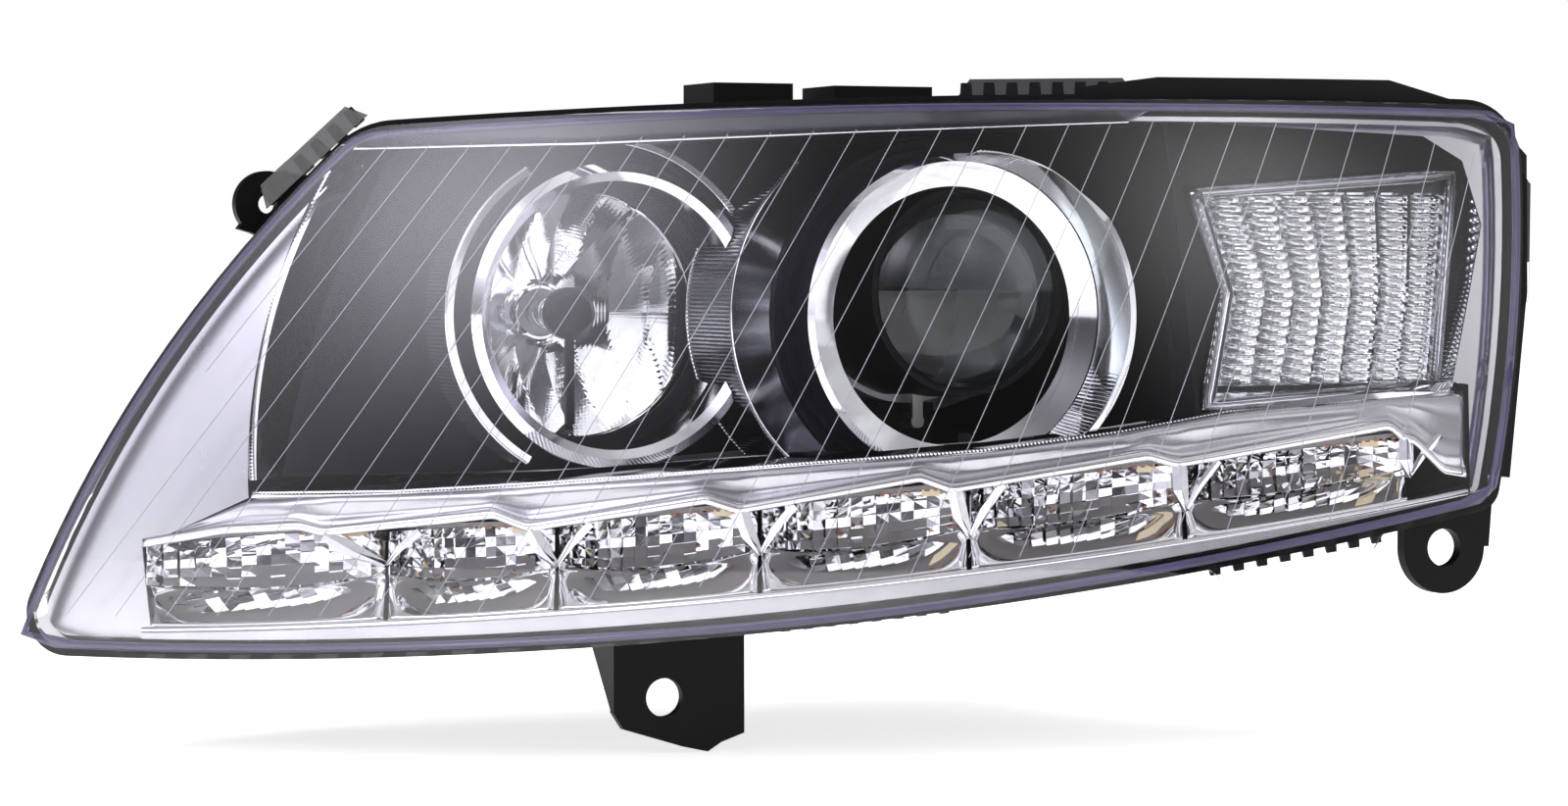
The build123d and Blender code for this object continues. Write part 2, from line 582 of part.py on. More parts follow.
def make_pivot_stud():
    stud = rod_y(3, PIVOT_Y, REAR_Y - HOUSING_T, PIVOT_X, PIVOT_Z)
    foot = rod_y(9, REAR_Y - HOUSING_T - 4, REAR_Y - HOUSING_T, PIVOT_X, PIVOT_Z)
    return stud + foot + ball_at(BALL_R, PIVOT_X, PIVOT_Z)


def ball_rod(x, z, end):
    return rod_y(2.5, PIVOT_Y, end, x, z) + ball_at(SMALL_BALL_R, x, z)


def make_motor():
    """Levelling motor pushed in from behind; its flange seats on the rear wall."""
    body = rod_y(MOTOR_R, 66, REAR_Y, PIVOT_X, LEVEL_Z) + rod_y(23, REAR_Y, REAR_Y + 4, PIVOT_X, LEVEL_Z)
    body = body + block(PIVOT_X - 16, PIVOT_X + 20, REAR_Y + 4, REAR_Y + 18, LEVEL_Z - 15, LEVEL_Z + 15)
    return body - rod_y(2.5 + RUN, 60, 100, PIVOT_X, LEVEL_Z)


def make_aim_wheel():
    """Threaded sleeve in the rear wall with a knurled knob outside."""
    sleeve = rod_y(WHEEL_R, 112, REAR_Y + 1, AIM_X, PIVOT_Z) + rod_y(11, REAR_Y + 1, REAR_Y + 11, AIM_X, PIVOT_Z)
    return sleeve - rod_y(2.5 + RUN, 100, 132, AIM_X, PIVOT_Z)


# ---------------------------------------------------------------- turn signal
def turn_window(inset):
    return offset(polygon(*TURN_OUTLINE), -inset, kind=Kind.INTERSECTION)


def make_turn_optic():
    """Clear cover with a thick rim."""
    window = fillet(turn_window(0).vertices(), 6)
    return shell(window, 24, 3) - below_shelf()


def make_turn_bowl():
    """Open-fronted box reflector with a hole for the bulb's holder."""
    box = shell(turn_window(1.5), 29, 40) - shell(turn_window(3.5), 20, 45)
    return box - lamp(rod_y(9, -100, 20, TURN_X, TURN_Z)) - below_shelf()


def make_turn_glass():
    return turned([(0, -78), (5, -77), (8, -72), (8, -64), (5, -52), (0, -52)], TURN_X, TURN_Z)


def make_turn_holder():
    """Twist-in holder: barrel, flange outside the housing and a grip bar."""
    barrel = rod_y(8.6, -52, -20, TURN_X, TURN_Z) + rod_y(12.3, -20, 12, TURN_X, TURN_Z)
    flange = rod_y(19, 11.2, 15, TURN_X, TURN_Z)
    return barrel + flange + block(TURN_X - 15, TURN_X + 15, 15, 25, TURN_Z - 4, TURN_Z + 4)


# ---------------------------------------------------------------- rear closures and electrics
def make_cap(x, z, radius):
    """Twist-off service cap: plug, flange and a grip bar across it."""
    plug = tube_y(radius - 0.5, radius - 3, REAR_Y + 2, REAR_Y + 14.2, x, z)
    flange = rod_y(radius + 5, REAR_Y + 14.2, REAR_Y + 17, x, z)
    grip = block(x - radius * 0.75, x + radius * 0.75, REAR_Y + 17, REAR_Y + 27, z - 5, z + 5)
    return plug + flange + grip


def make_cap_seal(x, z, radius):
    return tube_y(radius + 3.5, radius + 0.2, REAR_Y + 12, REAR_Y + 14.2, x, z)


def make_ballast():
    """Flat metal control box on two ears."""
    (x0, x1), (z0, z1) = BALLAST_X, BALLAST_Z
    box = block(x0, x1, REAR_Y, REAR_Y + 26, z0, z1)
    ears = block(x0 - 15, x1 + 15, REAR_Y, REAR_Y + 3, z0 + 3, z1 - 3)
    return box + ears - [rod_y(3.2, REAR_Y - 1, REAR_Y + 30, x, z) for x, z in BALLAST_SCREWS]


def make_connector():
    """Rear plug socket with ten pins in two rows."""
    (x0, x1), (z0, z1) = SOCKET_X, SOCKET_Z
    shroud = block(x0 + 0.2, x1 - 0.2, REAR_Y - 6, REAR_Y + 14, z0 + 0.2, z1 - 0.2)
    rim = block(x0 - 3, x1 + 3, REAR_Y, REAR_Y + 2.5, z0 - 3, z1 + 3)
    recess = block(x0 + 2.2, x1 - 2.2, REAR_Y - 3, REAR_Y + 20, z0 + 2.2, z1 - 2.2)
    pins = [block(x0 + 5 + 4 * col, x0 + 5.8 + 4 * col, REAR_Y - 3, REAR_Y + 5, z, z + 0.8)
            for col in range(5) for z in (z0 + 7, z0 + 14)]
    return shroud + rim - recess + pins


def make_vents():
    """Mushroom caps over the two breather holes."""
    caps = Part()
    for x, z in VENTS:
        caps = caps + rod_y(4.8, REAR_Y - 4, REAR_Y, x, z) + rod_y(9, REAR_Y, REAR_Y + 6, x, z)
    return caps


def make_screws():
    """Six like screws: two under the bracket, four round the ballast."""
    group = Part()
    for x, y in BRACKET_SCREWS:
        group = group + screw(x, y, 22, 10, (0, 0, 1))
    for x, z in BALLAST_SCREWS:
        group = group + screw(x, REAR_Y + 3, z, 6, (0, -1, 0))
    return group


# ---------------------------------------------------------------- all nodes
LAMP_FRAME = {
    "lens_cover": make_lens, "lens_seal": make_seal, "side_panel": make_side_panel,
    "outboard_flute": make_outboard_flute, "upper_trim": make_upper_trim, "shelf": make_shelf,
    "drl_brow": make_brow, "lower_trim": make_lower_trim, "inner_mask": make_mask,
    "drl_circuit_board": make_drl_board, "drl_leds": make_drl_leds, "drl_reflector": make_drl_reflector,
    "projector_ring": make_projector_ring, "projector_sleeve": make_projector_sleeve,
    "projector_cuff": make_projector_cuff, "projector_collar": make_projector_collar,
    "high_beam_sleeve": make_high_sleeve, "high_beam_ring": make_high_ring,
    "high_beam_cuff": make_high_cuff, "high_beam_collar": make_high_collar,
    "turn_signal_optic": make_turn_optic, "turn_signal_reflector": make_turn_bowl,
}
CAR_FRAME = {
    "housing": make_housing, "inboard_foot": make_foot, "outboard_lug": make_lug,
    "roof_ledge": make_ledge, "lower_bracket": make_bracket, "mounting_screws": make_screws,
    "projector_glass": make_projector_glass, "projector_glass_holder": make_glass_holder,
    "projector_reflector": make_projector_bowl, "dip_shutter": make_shutter,
    "shutter_solenoid": make_solenoid, "solenoid_plunger": make_plunger,
    "xenon_bulb_glass": make_xenon_glass, "xenon_bulb_base": make_xenon_base,
    "bulb_lock_ring": make_lock_ring, "high_beam_reflector": make_high_bowl,
    "high_beam_bulb_glass": make_high_glass, "high_beam_bulb_base": make_high_base,
    "bulb_retaining_clip": make_clip, "bulb_shield": make_shield, "carrier_frame": make_carrier,
    "pivot_bush": make_bush, "pivot_stud": make_pivot_stud, "levelling_motor": make_motor,
    "horizontal_adjuster_wheel": make_aim_wheel, "turn_signal_bulb": make_turn_glass,
    "turn_bulb_holder": make_turn_holder, "xenon_ballast": make_ballast,
    "wiring_connector": make_connector, "vent_caps": make_vents,
}

for name, make in LAMP_FRAME.items():
    nodes[name] = car(make())
for name, make in CAR_FRAME.items():
    nodes[name] = make()
nodes["levelling_plunger"] = ball_rod(PIVOT_X, LEVEL_Z, 90)
nodes["horizontal_adjuster_rod"] = ball_rod(AIM_X, PIVOT_Z, 122)
for label, x, z, radius in (("low_beam_cap", GLASS_X, GLASS_Z, LOW_CAP_R),
                            ("high_beam_cap", HIGH_X, HIGH_Z, HIGH_CAP_R)):
    nodes[label] = make_cap(x, z, radius)
    nodes[f"{label}_seal"] = make_cap_seal(x, z, radius)

os.makedirs("parts", exist_ok=True)
for name, solid in nodes.items():
    export_step(solid, f"parts/{name}.step")
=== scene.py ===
"""Looks of the left-hand headlight: fluted and faceted trim, optics, moulded details, finishes and a stage.

Metres. The front pieces have a lamp frame: u sideways, w up and d outwards, in millimetres. It is turned
about Z from the car frame, because the lamp wraps round the car's corner.
"""
import json
from math import cos, hypot, pi, radians, sin, sqrt

import bmesh
import bpy
from bpy.props import FloatProperty, FloatVectorProperty, IntProperty, PointerProperty
from mathutils import Matrix, Vector


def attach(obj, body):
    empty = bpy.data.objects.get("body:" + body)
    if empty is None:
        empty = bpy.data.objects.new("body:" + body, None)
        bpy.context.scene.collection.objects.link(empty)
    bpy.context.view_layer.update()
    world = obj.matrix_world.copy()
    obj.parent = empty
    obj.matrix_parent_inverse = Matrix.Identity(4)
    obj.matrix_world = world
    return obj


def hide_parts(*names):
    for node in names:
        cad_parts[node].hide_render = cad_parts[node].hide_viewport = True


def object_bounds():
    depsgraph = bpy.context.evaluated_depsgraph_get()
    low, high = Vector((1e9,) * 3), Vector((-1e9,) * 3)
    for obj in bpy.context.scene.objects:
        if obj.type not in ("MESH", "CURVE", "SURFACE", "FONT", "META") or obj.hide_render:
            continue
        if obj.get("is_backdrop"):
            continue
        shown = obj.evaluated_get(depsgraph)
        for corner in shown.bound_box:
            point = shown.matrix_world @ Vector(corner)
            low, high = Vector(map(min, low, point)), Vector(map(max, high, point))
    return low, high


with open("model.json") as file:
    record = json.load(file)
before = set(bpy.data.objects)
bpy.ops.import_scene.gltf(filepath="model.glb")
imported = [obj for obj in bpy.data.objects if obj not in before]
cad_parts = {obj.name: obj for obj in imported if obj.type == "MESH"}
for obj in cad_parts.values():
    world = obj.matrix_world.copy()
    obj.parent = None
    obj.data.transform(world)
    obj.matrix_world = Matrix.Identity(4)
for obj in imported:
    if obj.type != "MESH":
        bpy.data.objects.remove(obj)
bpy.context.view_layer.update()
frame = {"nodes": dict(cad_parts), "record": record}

bl_info = {
    "name": "Headlight looks",
    "version": (1, 0, 0),
    "blender": (4, 5, 0),
    "location": "View3D > Sidebar > Headlight",
    "description": "Builds the visible detail, finishes and stage of a wrap-round headlight",
    "category": "Object",
}

MM = 0.001
BODY = "housing_body"

# ------------------------------------------------------------------ the lamp's layout, millimetres
WRAP = radians(22)                          # the lens faces this far outboard
CROWN_U, CROWN_W, CROWN_D = 40, 105, 75     # the lens's foremost point
PLAN_R, CROWN_R, LEAN = 620, 520, radians(8)
LENS_T = 3
LENS_CORNERS = [(-233.5, 17.5), (297, 70), (311, 213.5), (-105.5, 204.5)]
LENS_MIDDLES = [(30, 29.5), (308.5, 145), (112, 213.5), (-186, 110)]
LENS_CENTRE = (60, 118)
PROJ_X, PROJ_Z = 83, 138
HIGH_X, HIGH_Z = -24, 138
GLASS_X, GLASS_Z = 93, 146.5
HIGH_APEX_Y, FOCUS = 66, 12.66              # high-beam bowl's pole and focal length
REAR_Y = 132                                # rear wall of the housing
LOW_CAP_R, HIGH_CAP_R = 45, 41
TURN_X, TURN_Z = 228, 147
AIM_X, PIVOT_Z = 142, 190
BALLAST_X, BALLAST_Z = (78, 170), (52, 94)
SHELF_BACK = [(-127, 79.5), (-41, 81), (14, 85), (114.5, 91.5), (163, 97), (203, 103), (284, 112.7)]
SHELF_FRONT = [(-144, 75), (-92, 76.4), (-38, 80), (53, 87), (112, 91), (162, 97.3), (200, 103.8), (282, 110)]
CELL_ENDS = [-184, -95, -35, 35.5, 108, 184, 266]
BOARD_LINE = [(-184, 57), (-118, 63), (-45, 65.5), (28, 72), (102, 79), (181, 87), (266, 95)]
BROW_STRUTS = [
    [(-126, 63), (-118, 61), (-95, 51.5)],
    [(-57, 68), (-45, 63.5), (-35, 52)],
    [(17, 73.5), (28, 70), (35.5, 56)],
    [(91, 81), (102, 77), (108, 61.5)],
    [(171, 88), (181, 85), (184, 70)],
    [(259, 97.5), (264, 93), (266, 80.5)],
]
RAIL_LOW = [(-112, 196.6), (-25, 198.2), (78, 202.6), (165.5, 206.1)]
RAIL_HIGH = [(-88, 205.6), (9.6, 208), (112.7, 211), (176, 211.6)]
TURN_OUTLINE = [(187, 183), (199, 146), (190, 103), (280, 110), (290, 191)]


# ------------------------------------------------------------------ lamp frame
def lamp_point(u, w, d):
    """A lamp-frame point, in metres in the car frame."""
    return Vector((u * cos(WRAP) - d * sin(WRAP), -u * sin(WRAP) - d * cos(WRAP), w)) * MM


def crown_depth(u, w, offset):
    """d of the lens surface moved `offset` inwards."""
    depth = CROWN_D - offset
    for _ in range(8):
        across = (w - CROWN_W) * cos(LEAN) - (depth - CROWN_D) * sin(LEAN)
        radius = PLAN_R - offset - across ** 2 / (2 * (CROWN_R - offset))
        out = sqrt(radius ** 2 - (u - CROWN_U) ** 2) - PLAN_R
        depth = CROWN_D + out * cos(LEAN) - across * sin(LEAN)
    return depth


def on_crown(u, w, offset):
    """The point `offset` behind the lens's outer surface."""
    return lamp_point(u, w, crown_depth(u, w, offset))


def line_height(line, u):
    """w of a polyline at u, carried on past its ends."""
    for (u0, w0), (u1, w1) in zip(line, line[1:]):
        if u <= u1 or (u1, w1) == line[-1]:
            return w0 + (w1 - w0) * (u - u0) / (u1 - u0)


def lip_height(u):
    """w of the bright lip below the daytime lights."""
    return 26.5 + 0.1027 * (u + 184) - 0.00013 * (u + 184) * (288 - u)


def arc_circle(a, b, c):
    """(centre u, centre w, radius) of the circle through three points."""
    ax, ay, bx, by, cx, cy = *a, *b, *c
    det = 2 * (ax * (by - cy) + bx * (cy - ay) + cx * (ay - by))
    aa, bb, cc = ax * ax + ay * ay, bx * bx + by * by, cx * cx + cy * cy
    x = (aa * (by - cy) + bb * (cy - ay) + cc * (ay - by)) / det
    y = (aa * (cx - bx) + bb * (ax - cx) + cc * (bx - ax)) / det
    return x, y, hypot(ax - x, ay - y)


LENS_DISCS = [arc_circle(LENS_CORNERS[i], LENS_MIDDLES[i], LENS_CORNERS[(i + 1) % 4]) for i in range(4)]


def outline_at(turn, grow=0.0, soften=6.0):
    """Point of the lens's outline in the direction `turn` from its middle, with softened corners."""
    ou, ow = LENS_CENTRE
    du, dw = cos(turn), sin(turn)
    reach = []
    for cu, cw, radius in LENS_DISCS:
        along = (cu - ou) * du + (cw - ow) * dw
        off = (cu - ou) ** 2 + (cw - ow) ** 2 - along ** 2
        reach.append(along + sqrt((radius + grow) ** 2 - off))
    near = min(reach)
    far = near - soften * sum(2.718 ** (-(r - near) / soften) - 1 for r in reach if r > near + 1e-9) * 0.12
    return ou + far * du, ow + far * dw


# ------------------------------------------------------------------ mesh helpers
def new_piece(name, points, faces, smooth=True):
    """A mesh object in the scene."""
    mesh = bpy.data.meshes.new(name)
    mesh.from_pydata([tuple(p) for p in points], [], faces)
    mesh.validate()
    if smooth:
        mesh.shade_smooth()
    piece = bpy.data.objects.new(name, mesh)
    bpy.context.scene.collection.objects.link(piece)
    return piece


def face_towards(piece, direction):
    """Flip the sheet so that most of it faces the direction."""
    total = Vector()
    for face in piece.data.polygons:
        total += face.normal * face.area
    if total.dot(direction) < 0:
        piece.data.flip_normals()
    return piece


def give_wall(piece, thickness):
    """Turn a sheet into a closed wall; the wall grows behind the face."""
    shape = bmesh.new()
    shape.from_mesh(piece.data)
    bmesh.ops.solidify(shape, geom=shape.faces[:], thickness=thickness)
    bmesh.ops.recalc_face_normals(shape, faces=shape.faces[:])
    shape.to_mesh(piece.data)
    shape.free()
    return piece


def grid(rows):
    """(points, faces) of a sheet from equal rows of points."""
    width = len(rows[0])
    points = [p for row in rows for p in row]
    faces = [(r * width + c, r * width + c + 1, (r + 1) * width + c + 1, (r + 1) * width + c)
             for r in range(len(rows) - 1) for c in range(width - 1)]
    return points, faces


def done(piece, body, slot_name, *replaced):
    """Every finished piece rides on a body and hides the CAD parts it replaces."""
    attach(piece, body)
    if replaced:
        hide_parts(*replaced)
    return piece


# ------------------------------------------------------------------ Geometry Nodes
def add_inputs(tree, inputs):
    """Named inputs of a node group, then its one output."""
    for label, kind, value in inputs:
        socket = tree.interface.new_socket(label, in_out="INPUT", socket_type=f"NodeSocket{kind}")
        if value is not None:
            socket.default_value = value
    tree.interface.new_socket("Geometry", in_out="OUTPUT", socket_type="NodeSocketGeometry")


def wire(tree, chain):
    """Join sockets, given as pairs."""
    for start, end in chain:
        tree.links.new(start, end)


def close_tree(tree, source, inlet, outlet):
    """Every tree ends in Realize Instances and Set Material."""
    real = tree.nodes.new("GeometryNodeRealizeInstances")
    paint = tree.nodes.new("GeometryNodeSetMaterial")
    wire(tree, [(source, real.inputs["Geometry"]), (real.outputs[0], paint.inputs["Geometry"]),
                (inlet.outputs["Finish"], paint.inputs["Material"]), (paint.outputs[0], outlet.inputs[0])])
    return tree


def repeat_tree():
    """Sets a pattern on every point, turned and stretched by the point's own `turn` and `stretch`."""
    tree = bpy.data.node_groups.new("repeat_on_points", "GeometryNodeTree")
    add_inputs(tree, [("Points", "Geometry", None), ("Pattern", "Object", None), ("Width", "Float", 1.0),
                      ("Depth", "Float", 1.0), ("Length", "Float", 1.0), ("Finish", "Material", None)])
    node = tree.nodes.new
    inlet, outlet = node("NodeGroupInput"), node("NodeGroupOutput")
    turn, stretch = node("GeometryNodeInputNamedAttribute"), node("GeometryNodeInputNamedAttribute")
    for reader, label in ((turn, "turn"), (stretch, "stretch")):
        reader.data_type = "FLOAT_VECTOR"
        reader.inputs["Name"].default_value = label
    rotation, size = node("FunctionNodeEulerToRotation"), node("ShaderNodeCombineXYZ")
    scale = node("ShaderNodeVectorMath")
    scale.operation = "MULTIPLY"
    pattern, place = node("GeometryNodeObjectInfo"), node("GeometryNodeInstanceOnPoints")
    wire(tree, [
        (inlet.outputs["Points"], place.inputs["Points"]),
        (inlet.outputs["Pattern"], pattern.inputs["Object"]),
        (pattern.outputs["Geometry"], place.inputs["Instance"]),
        (turn.outputs["Attribute"], rotation.inputs[0]), (rotation.outputs[0], place.inputs["Rotation"]),
        (inlet.outputs["Width"], size.inputs[0]), (inlet.outputs["Depth"], size.inputs[1]),
        (inlet.outputs["Length"], size.inputs[2]), (size.outputs[0], scale.inputs[0]),
        (stretch.outputs["Attribute"], scale.inputs[1]), (scale.outputs[0], place.inputs["Scale"])])
    return close_tree(tree, place.outputs[0], inlet, outlet)


def path_tree():
    """Runs a round bead along the mesh's edges."""
    tree = bpy.data.node_groups.new("bead_on_path", "GeometryNodeTree")
    add_inputs(tree, [("Path", "Geometry", None), ("Bead radius", "Float", 0.001), ("Sides", "Int", 6),
                      ("Finish", "Material", None)])
    node = tree.nodes.new
    inlet, outlet = node("NodeGroupInput"), node("NodeGroupOutput")
    curve, circle = node("GeometryNodeMeshToCurve"), node("GeometryNodeCurvePrimitiveCircle")
    sweep, smooth = node("GeometryNodeCurveToMesh"), node("GeometryNodeSetShadeSmooth")
    sweep.inputs["Fill Caps"].default_value = True
    wire(tree, [
        (inlet.outputs["Path"], curve.inputs["Mesh"]), (curve.outputs[0], sweep.inputs["Curve"]),
        (inlet.outputs["Bead radius"], circle.inputs["Radius"]),
        (inlet.outputs["Sides"], circle.inputs["Resolution"]),
        (circle.outputs[0], sweep.inputs["Profile Curve"]), (sweep.outputs[0], smooth.inputs[0])])
    return close_tree(tree, smooth.outputs[0], inlet, outlet)


def flute_tree():
    """Raises round flutes on a band; the band's points carry `along`, 0 to 1, and `fade`, 0 to 1."""
    tree = bpy.data.node_groups.new("flutes_on_band", "GeometryNodeTree")
    add_inputs(tree, [("Band", "Geometry", None), ("Flute count", "Float", 40.0),
                      ("Flute depth", "Float", 0.0005), ("Finish", "Material", None)])
    node = tree.nodes.new
    inlet, outlet = node("NodeGroupInput"), node("NodeGroupOutput")
    along, fade = node("GeometryNodeInputNamedAttribute"), node("GeometryNodeInputNamedAttribute")
    for reader, label in ((along, "along"), (fade, "fade")):
        reader.data_type = "FLOAT"
        reader.inputs["Name"].default_value = label
    steps = []
    for operation in ("MULTIPLY", "MULTIPLY", "SINE", "ABSOLUTE", "MULTIPLY", "MULTIPLY"):
        step = node("ShaderNodeMath")
        step.operation = operation
        steps.append(step)
    half_turns, phase, wave, hump, faded, height = steps
    half_turns.inputs[1].default_value = pi
    normal, push = node("GeometryNodeInputNormal"), node("ShaderNodeVectorMath")
    shift = node("GeometryNodeSetPosition")
    push.operation = "SCALE"
    wire(tree, [
        (inlet.outputs["Flute count"], half_turns.inputs[0]), (half_turns.outputs[0], phase.inputs[0]),
        (along.outputs["Attribute"], phase.inputs[1]), (phase.outputs[0], wave.inputs[0]),
        (wave.outputs[0], hump.inputs[0]), (hump.outputs[0], faded.inputs[0]),
        (fade.outputs["Attribute"], faded.inputs[1]), (faded.outputs[0], height.inputs[0]),
        (inlet.outputs["Flute depth"], height.inputs[1]), (normal.outputs[0], push.inputs[0]),
        (height.outputs[0], push.inputs["Scale"]), (inlet.outputs["Band"], shift.inputs["Geometry"]),
        (push.outputs[0], shift.inputs["Offset"])])
    return close_tree(tree, shift.outputs[0], inlet, outlet)


def grow_with(piece, tree_name, **values):
    """Run a tree on the piece and keep its result as a plain mesh. Input names have _ for a space."""
    tree = bpy.data.node_groups[tree_name]
    modifier = piece.modifiers.new(tree_name, "NODES")
    modifier.node_group = tree
    sockets = {s.name: s.identifier for s in tree.interface.items_tree if s.in_out == "INPUT"}
    for label, value in values.items():
        modifier[sockets[label.replace("_", " ")]] = value
    depsgraph = bpy.context.evaluated_depsgraph_get()
    mesh = bpy.data.meshes.new_from_object(piece.evaluated_get(depsgraph), depsgraph=depsgraph)
    piece.modifiers.clear()
    mesh.name = piece.name
    piece.data = mesh
    return piece


def repeated(name, spots, pattern, finish, width=1.0, depth=1.0, length=1.0):
    """Patterns at (place, side axis, out axis, sizes); the third axis follows from the other two."""
    piece = new_piece(name, [place for place, _, _, _ in spots], [], smooth=False)
    turns, sizes = [], []
    for _, side, out, size in spots:
        side, out = side.normalized(), out.normalized()
        out = (out - side * out.dot(side)).normalized()
        turn = Matrix((side, out, side.cross(out))).transposed().to_euler("XYZ")
        turns += list(turn)
        sizes += list(size)
    for label, values in (("turn", turns), ("stretch", sizes)):
        piece.data.attributes.new(label, "FLOAT_VECTOR", "POINT").data.foreach_set("vector", values)
    grow_with(piece, "repeat_on_points", Pattern=pattern, Width=width, Depth=depth, Length=length,
              Finish=finish)
    return piece


def beads(name, paths, radius, finish, sides=6):
    """Round beads along open or closed runs of points."""
    points, edges = [], []
    for path in paths:
        first = len(points)
        points += path
        edges += [(first + i, first + i + 1) for i in range(len(path) - 1)]
    mesh = bpy.data.meshes.new(name)
    mesh.from_pydata([tuple(p) for p in points], edges, [])
    piece = bpy.data.objects.new(name, mesh)
    bpy.context.scene.collection.objects.link(piece)
    return grow_with(piece, "bead_on_path", Bead_radius=radius, Sides=sides, Finish=finish)


def fluted(name, near, far, count, depth, finish, towards, rows=3, slant=0.0, fade=None, wall=0.0006):
    """A fluted band between two edges, given as functions of 0 to 1; flutes run from edge to edge."""
    columns = int(count * 4)
    lines, along, fades = [], [], []
    for r in range(rows + 1):
        across = r / rows
        lines.append([near(c / columns).lerp(far(c / columns), across) for c in range(columns + 1)])
        along += [c / columns + slant * across / count for c in range(columns + 1)]
        fades += [1.0 if fade is None else fade(c / columns) for c in range(columns + 1)]
    piece = face_towards(new_piece(name, *grid(lines), smooth=False), towards)
    piece.data.attributes.new("along", "FLOAT", "POINT").data.foreach_set("value", along)
    piece.data.attributes.new("fade", "FLOAT", "POINT").data.foreach_set("value", fades)
    grow_with(piece, "flutes_on_band", Flute_count=float(count), Flute_depth=depth, Finish=finish)
    return give_wall(piece, wall)


def pattern_object(name, points, faces):
    """A small shape that a tree repeats; it isn't a piece itself."""
    mesh = bpy.data.meshes.new(name)
    mesh.from_pydata(points, [], faces)
    return bpy.data.objects.new(name, mesh)


def tapered_block(top=0.7):
    """Unit block with its outer end narrower; width X, out Y, length Z."""
    low = [(-0.5, -0.5), (0.5, -0.5), (0.5, 0.5), (-0.5, 0.5)]
    high = [(x * top, z * top) for x, z in low]
    points = [(x, 0, z) for x, z in low] + [(x, 1, z) for x, z in high]
    faces = [(0, 1, 2, 3), (7, 6, 5, 4), (4, 5, 1, 0), (5, 6, 2, 1), (6, 7, 3, 2), (7, 4, 0, 3)]
    return pattern_object("tapered_block", points, faces)


def pillow(steps=4):
    """Unit lens pillow: a rounded hump on a square base."""
    rows = []
    for r in range(steps + 1):
        z = r / steps - 0.5
        rows.append([(c / steps - 0.5, (1 - (2 * (c / steps) - 1) ** 2) * (1 - 4 * z * z), z)
                     for c in range(steps + 1)])
    points, faces = grid(rows)
    base = [(-0.5, -0.05, -0.5), (0.5, -0.05, -0.5), (0.5, -0.05, 0.5), (-0.5, -0.05, 0.5)]
    first = len(points)
    edge = ([c for c in range(steps + 1)], [r * (steps + 1) + steps for r in range(steps + 1)],
            [steps * (steps + 1) + steps - c for c in range(steps + 1)],
            [(steps - r) * (steps + 1) for r in range(steps + 1)])
    faces += [tuple(reversed(run)) + (first + i, first + (i + 1) % 4) for i, run in enumerate(edge)]
    faces.append((first, first + 1, first + 2, first + 3))
    return pattern_object("pillow", points + base, faces)


# ------------------------------------------------------------------ shader groups
def shader_group(name, inputs, outputs):
    """An empty group with its sockets, and its two end nodes."""
    tree = bpy.data.node_groups.new(name, "ShaderNodeTree")
    for label, kind, value in inputs:
        socket = tree.interface.new_socket(label, in_out="INPUT", socket_type=f"NodeSocket{kind}")
        if value is not None:
            socket.default_value = value
    for label, kind in outputs:
        tree.interface.new_socket(label, in_out="OUTPUT", socket_type=f"NodeSocket{kind}")
    return tree, tree.nodes.new("NodeGroupInput"), tree.nodes.new("NodeGroupOutput")


SURFACE_INPUTS = [("Vector", "Vector", None), ("Color", "Color", (0.5, 0.5, 0.5, 1)),
                  ("Second color", "Color", (0.4, 0.4, 0.4, 1)), ("Scale", "Float", 100.0),
                  ("Roughness", "Float", 0.4), ("Spread", "Float", 0.1)]
SURFACE_OUTPUTS = [("Color", "Color"), ("Roughness", "Float"), ("Height", "Float")]


def mixed(tree, fac, first, second):
    """Colour mix of two sockets."""
    mix = tree.nodes.new("ShaderNodeMix")
    mix.data_type = "RGBA"
    wire(tree, [(fac, mix.inputs["Factor"]), (first, mix.inputs[6]), (second, mix.inputs[7])])
    return mix.outputs[2]


def spread_roughness(tree, inlet, mask):
    """Roughness that wanders by the spread with the mask."""
    centre, scaled = tree.nodes.new("ShaderNodeMath"), tree.nodes.new("ShaderNodeMath")
    total = tree.nodes.new("ShaderNodeMath")
    centre.operation, scaled.operation, total.operation = "SUBTRACT", "MULTIPLY", "ADD"
    centre.inputs[1].default_value = 0.5
    total.use_clamp = True
    wire(tree, [(mask, centre.inputs[0]), (centre.outputs[0], scaled.inputs[0]),
                (inlet.outputs["Spread"], scaled.inputs[1]), (scaled.outputs[0], total.inputs[0]),
                (inlet.outputs["Roughness"], total.inputs[1])])
    return total.outputs[0]


def grain_group():
    """Fine moulded grain with broad cloudy patches."""
    tree, inlet, outlet = shader_group("moulded_grain", SURFACE_INPUTS, SURFACE_OUTPUTS)
    fine, broad = tree.nodes.new("ShaderNodeTexNoise"), tree.nodes.new("ShaderNodeTexNoise")
    fine.inputs["Detail"].default_value = 3
    broad.inputs["Scale"].default_value = 28
    broad.inputs["Detail"].default_value = 4
    wire(tree, [(inlet.outputs["Vector"], fine.inputs["Vector"]),
                (inlet.outputs["Vector"], broad.inputs["Vector"]),
                (inlet.outputs["Scale"], fine.inputs["Scale"])])
    colour = mixed(tree, broad.outputs["Fac"], inlet.outputs["Color"], inlet.outputs["Second color"])
    rough = spread_roughness(tree, inlet, broad.outputs["Fac"])
    wire(tree, [(colour, outlet.inputs["Color"]), (rough, outlet.inputs["Roughness"]),
                (fine.outputs["Fac"], outlet.inputs["Height"])])
    return tree


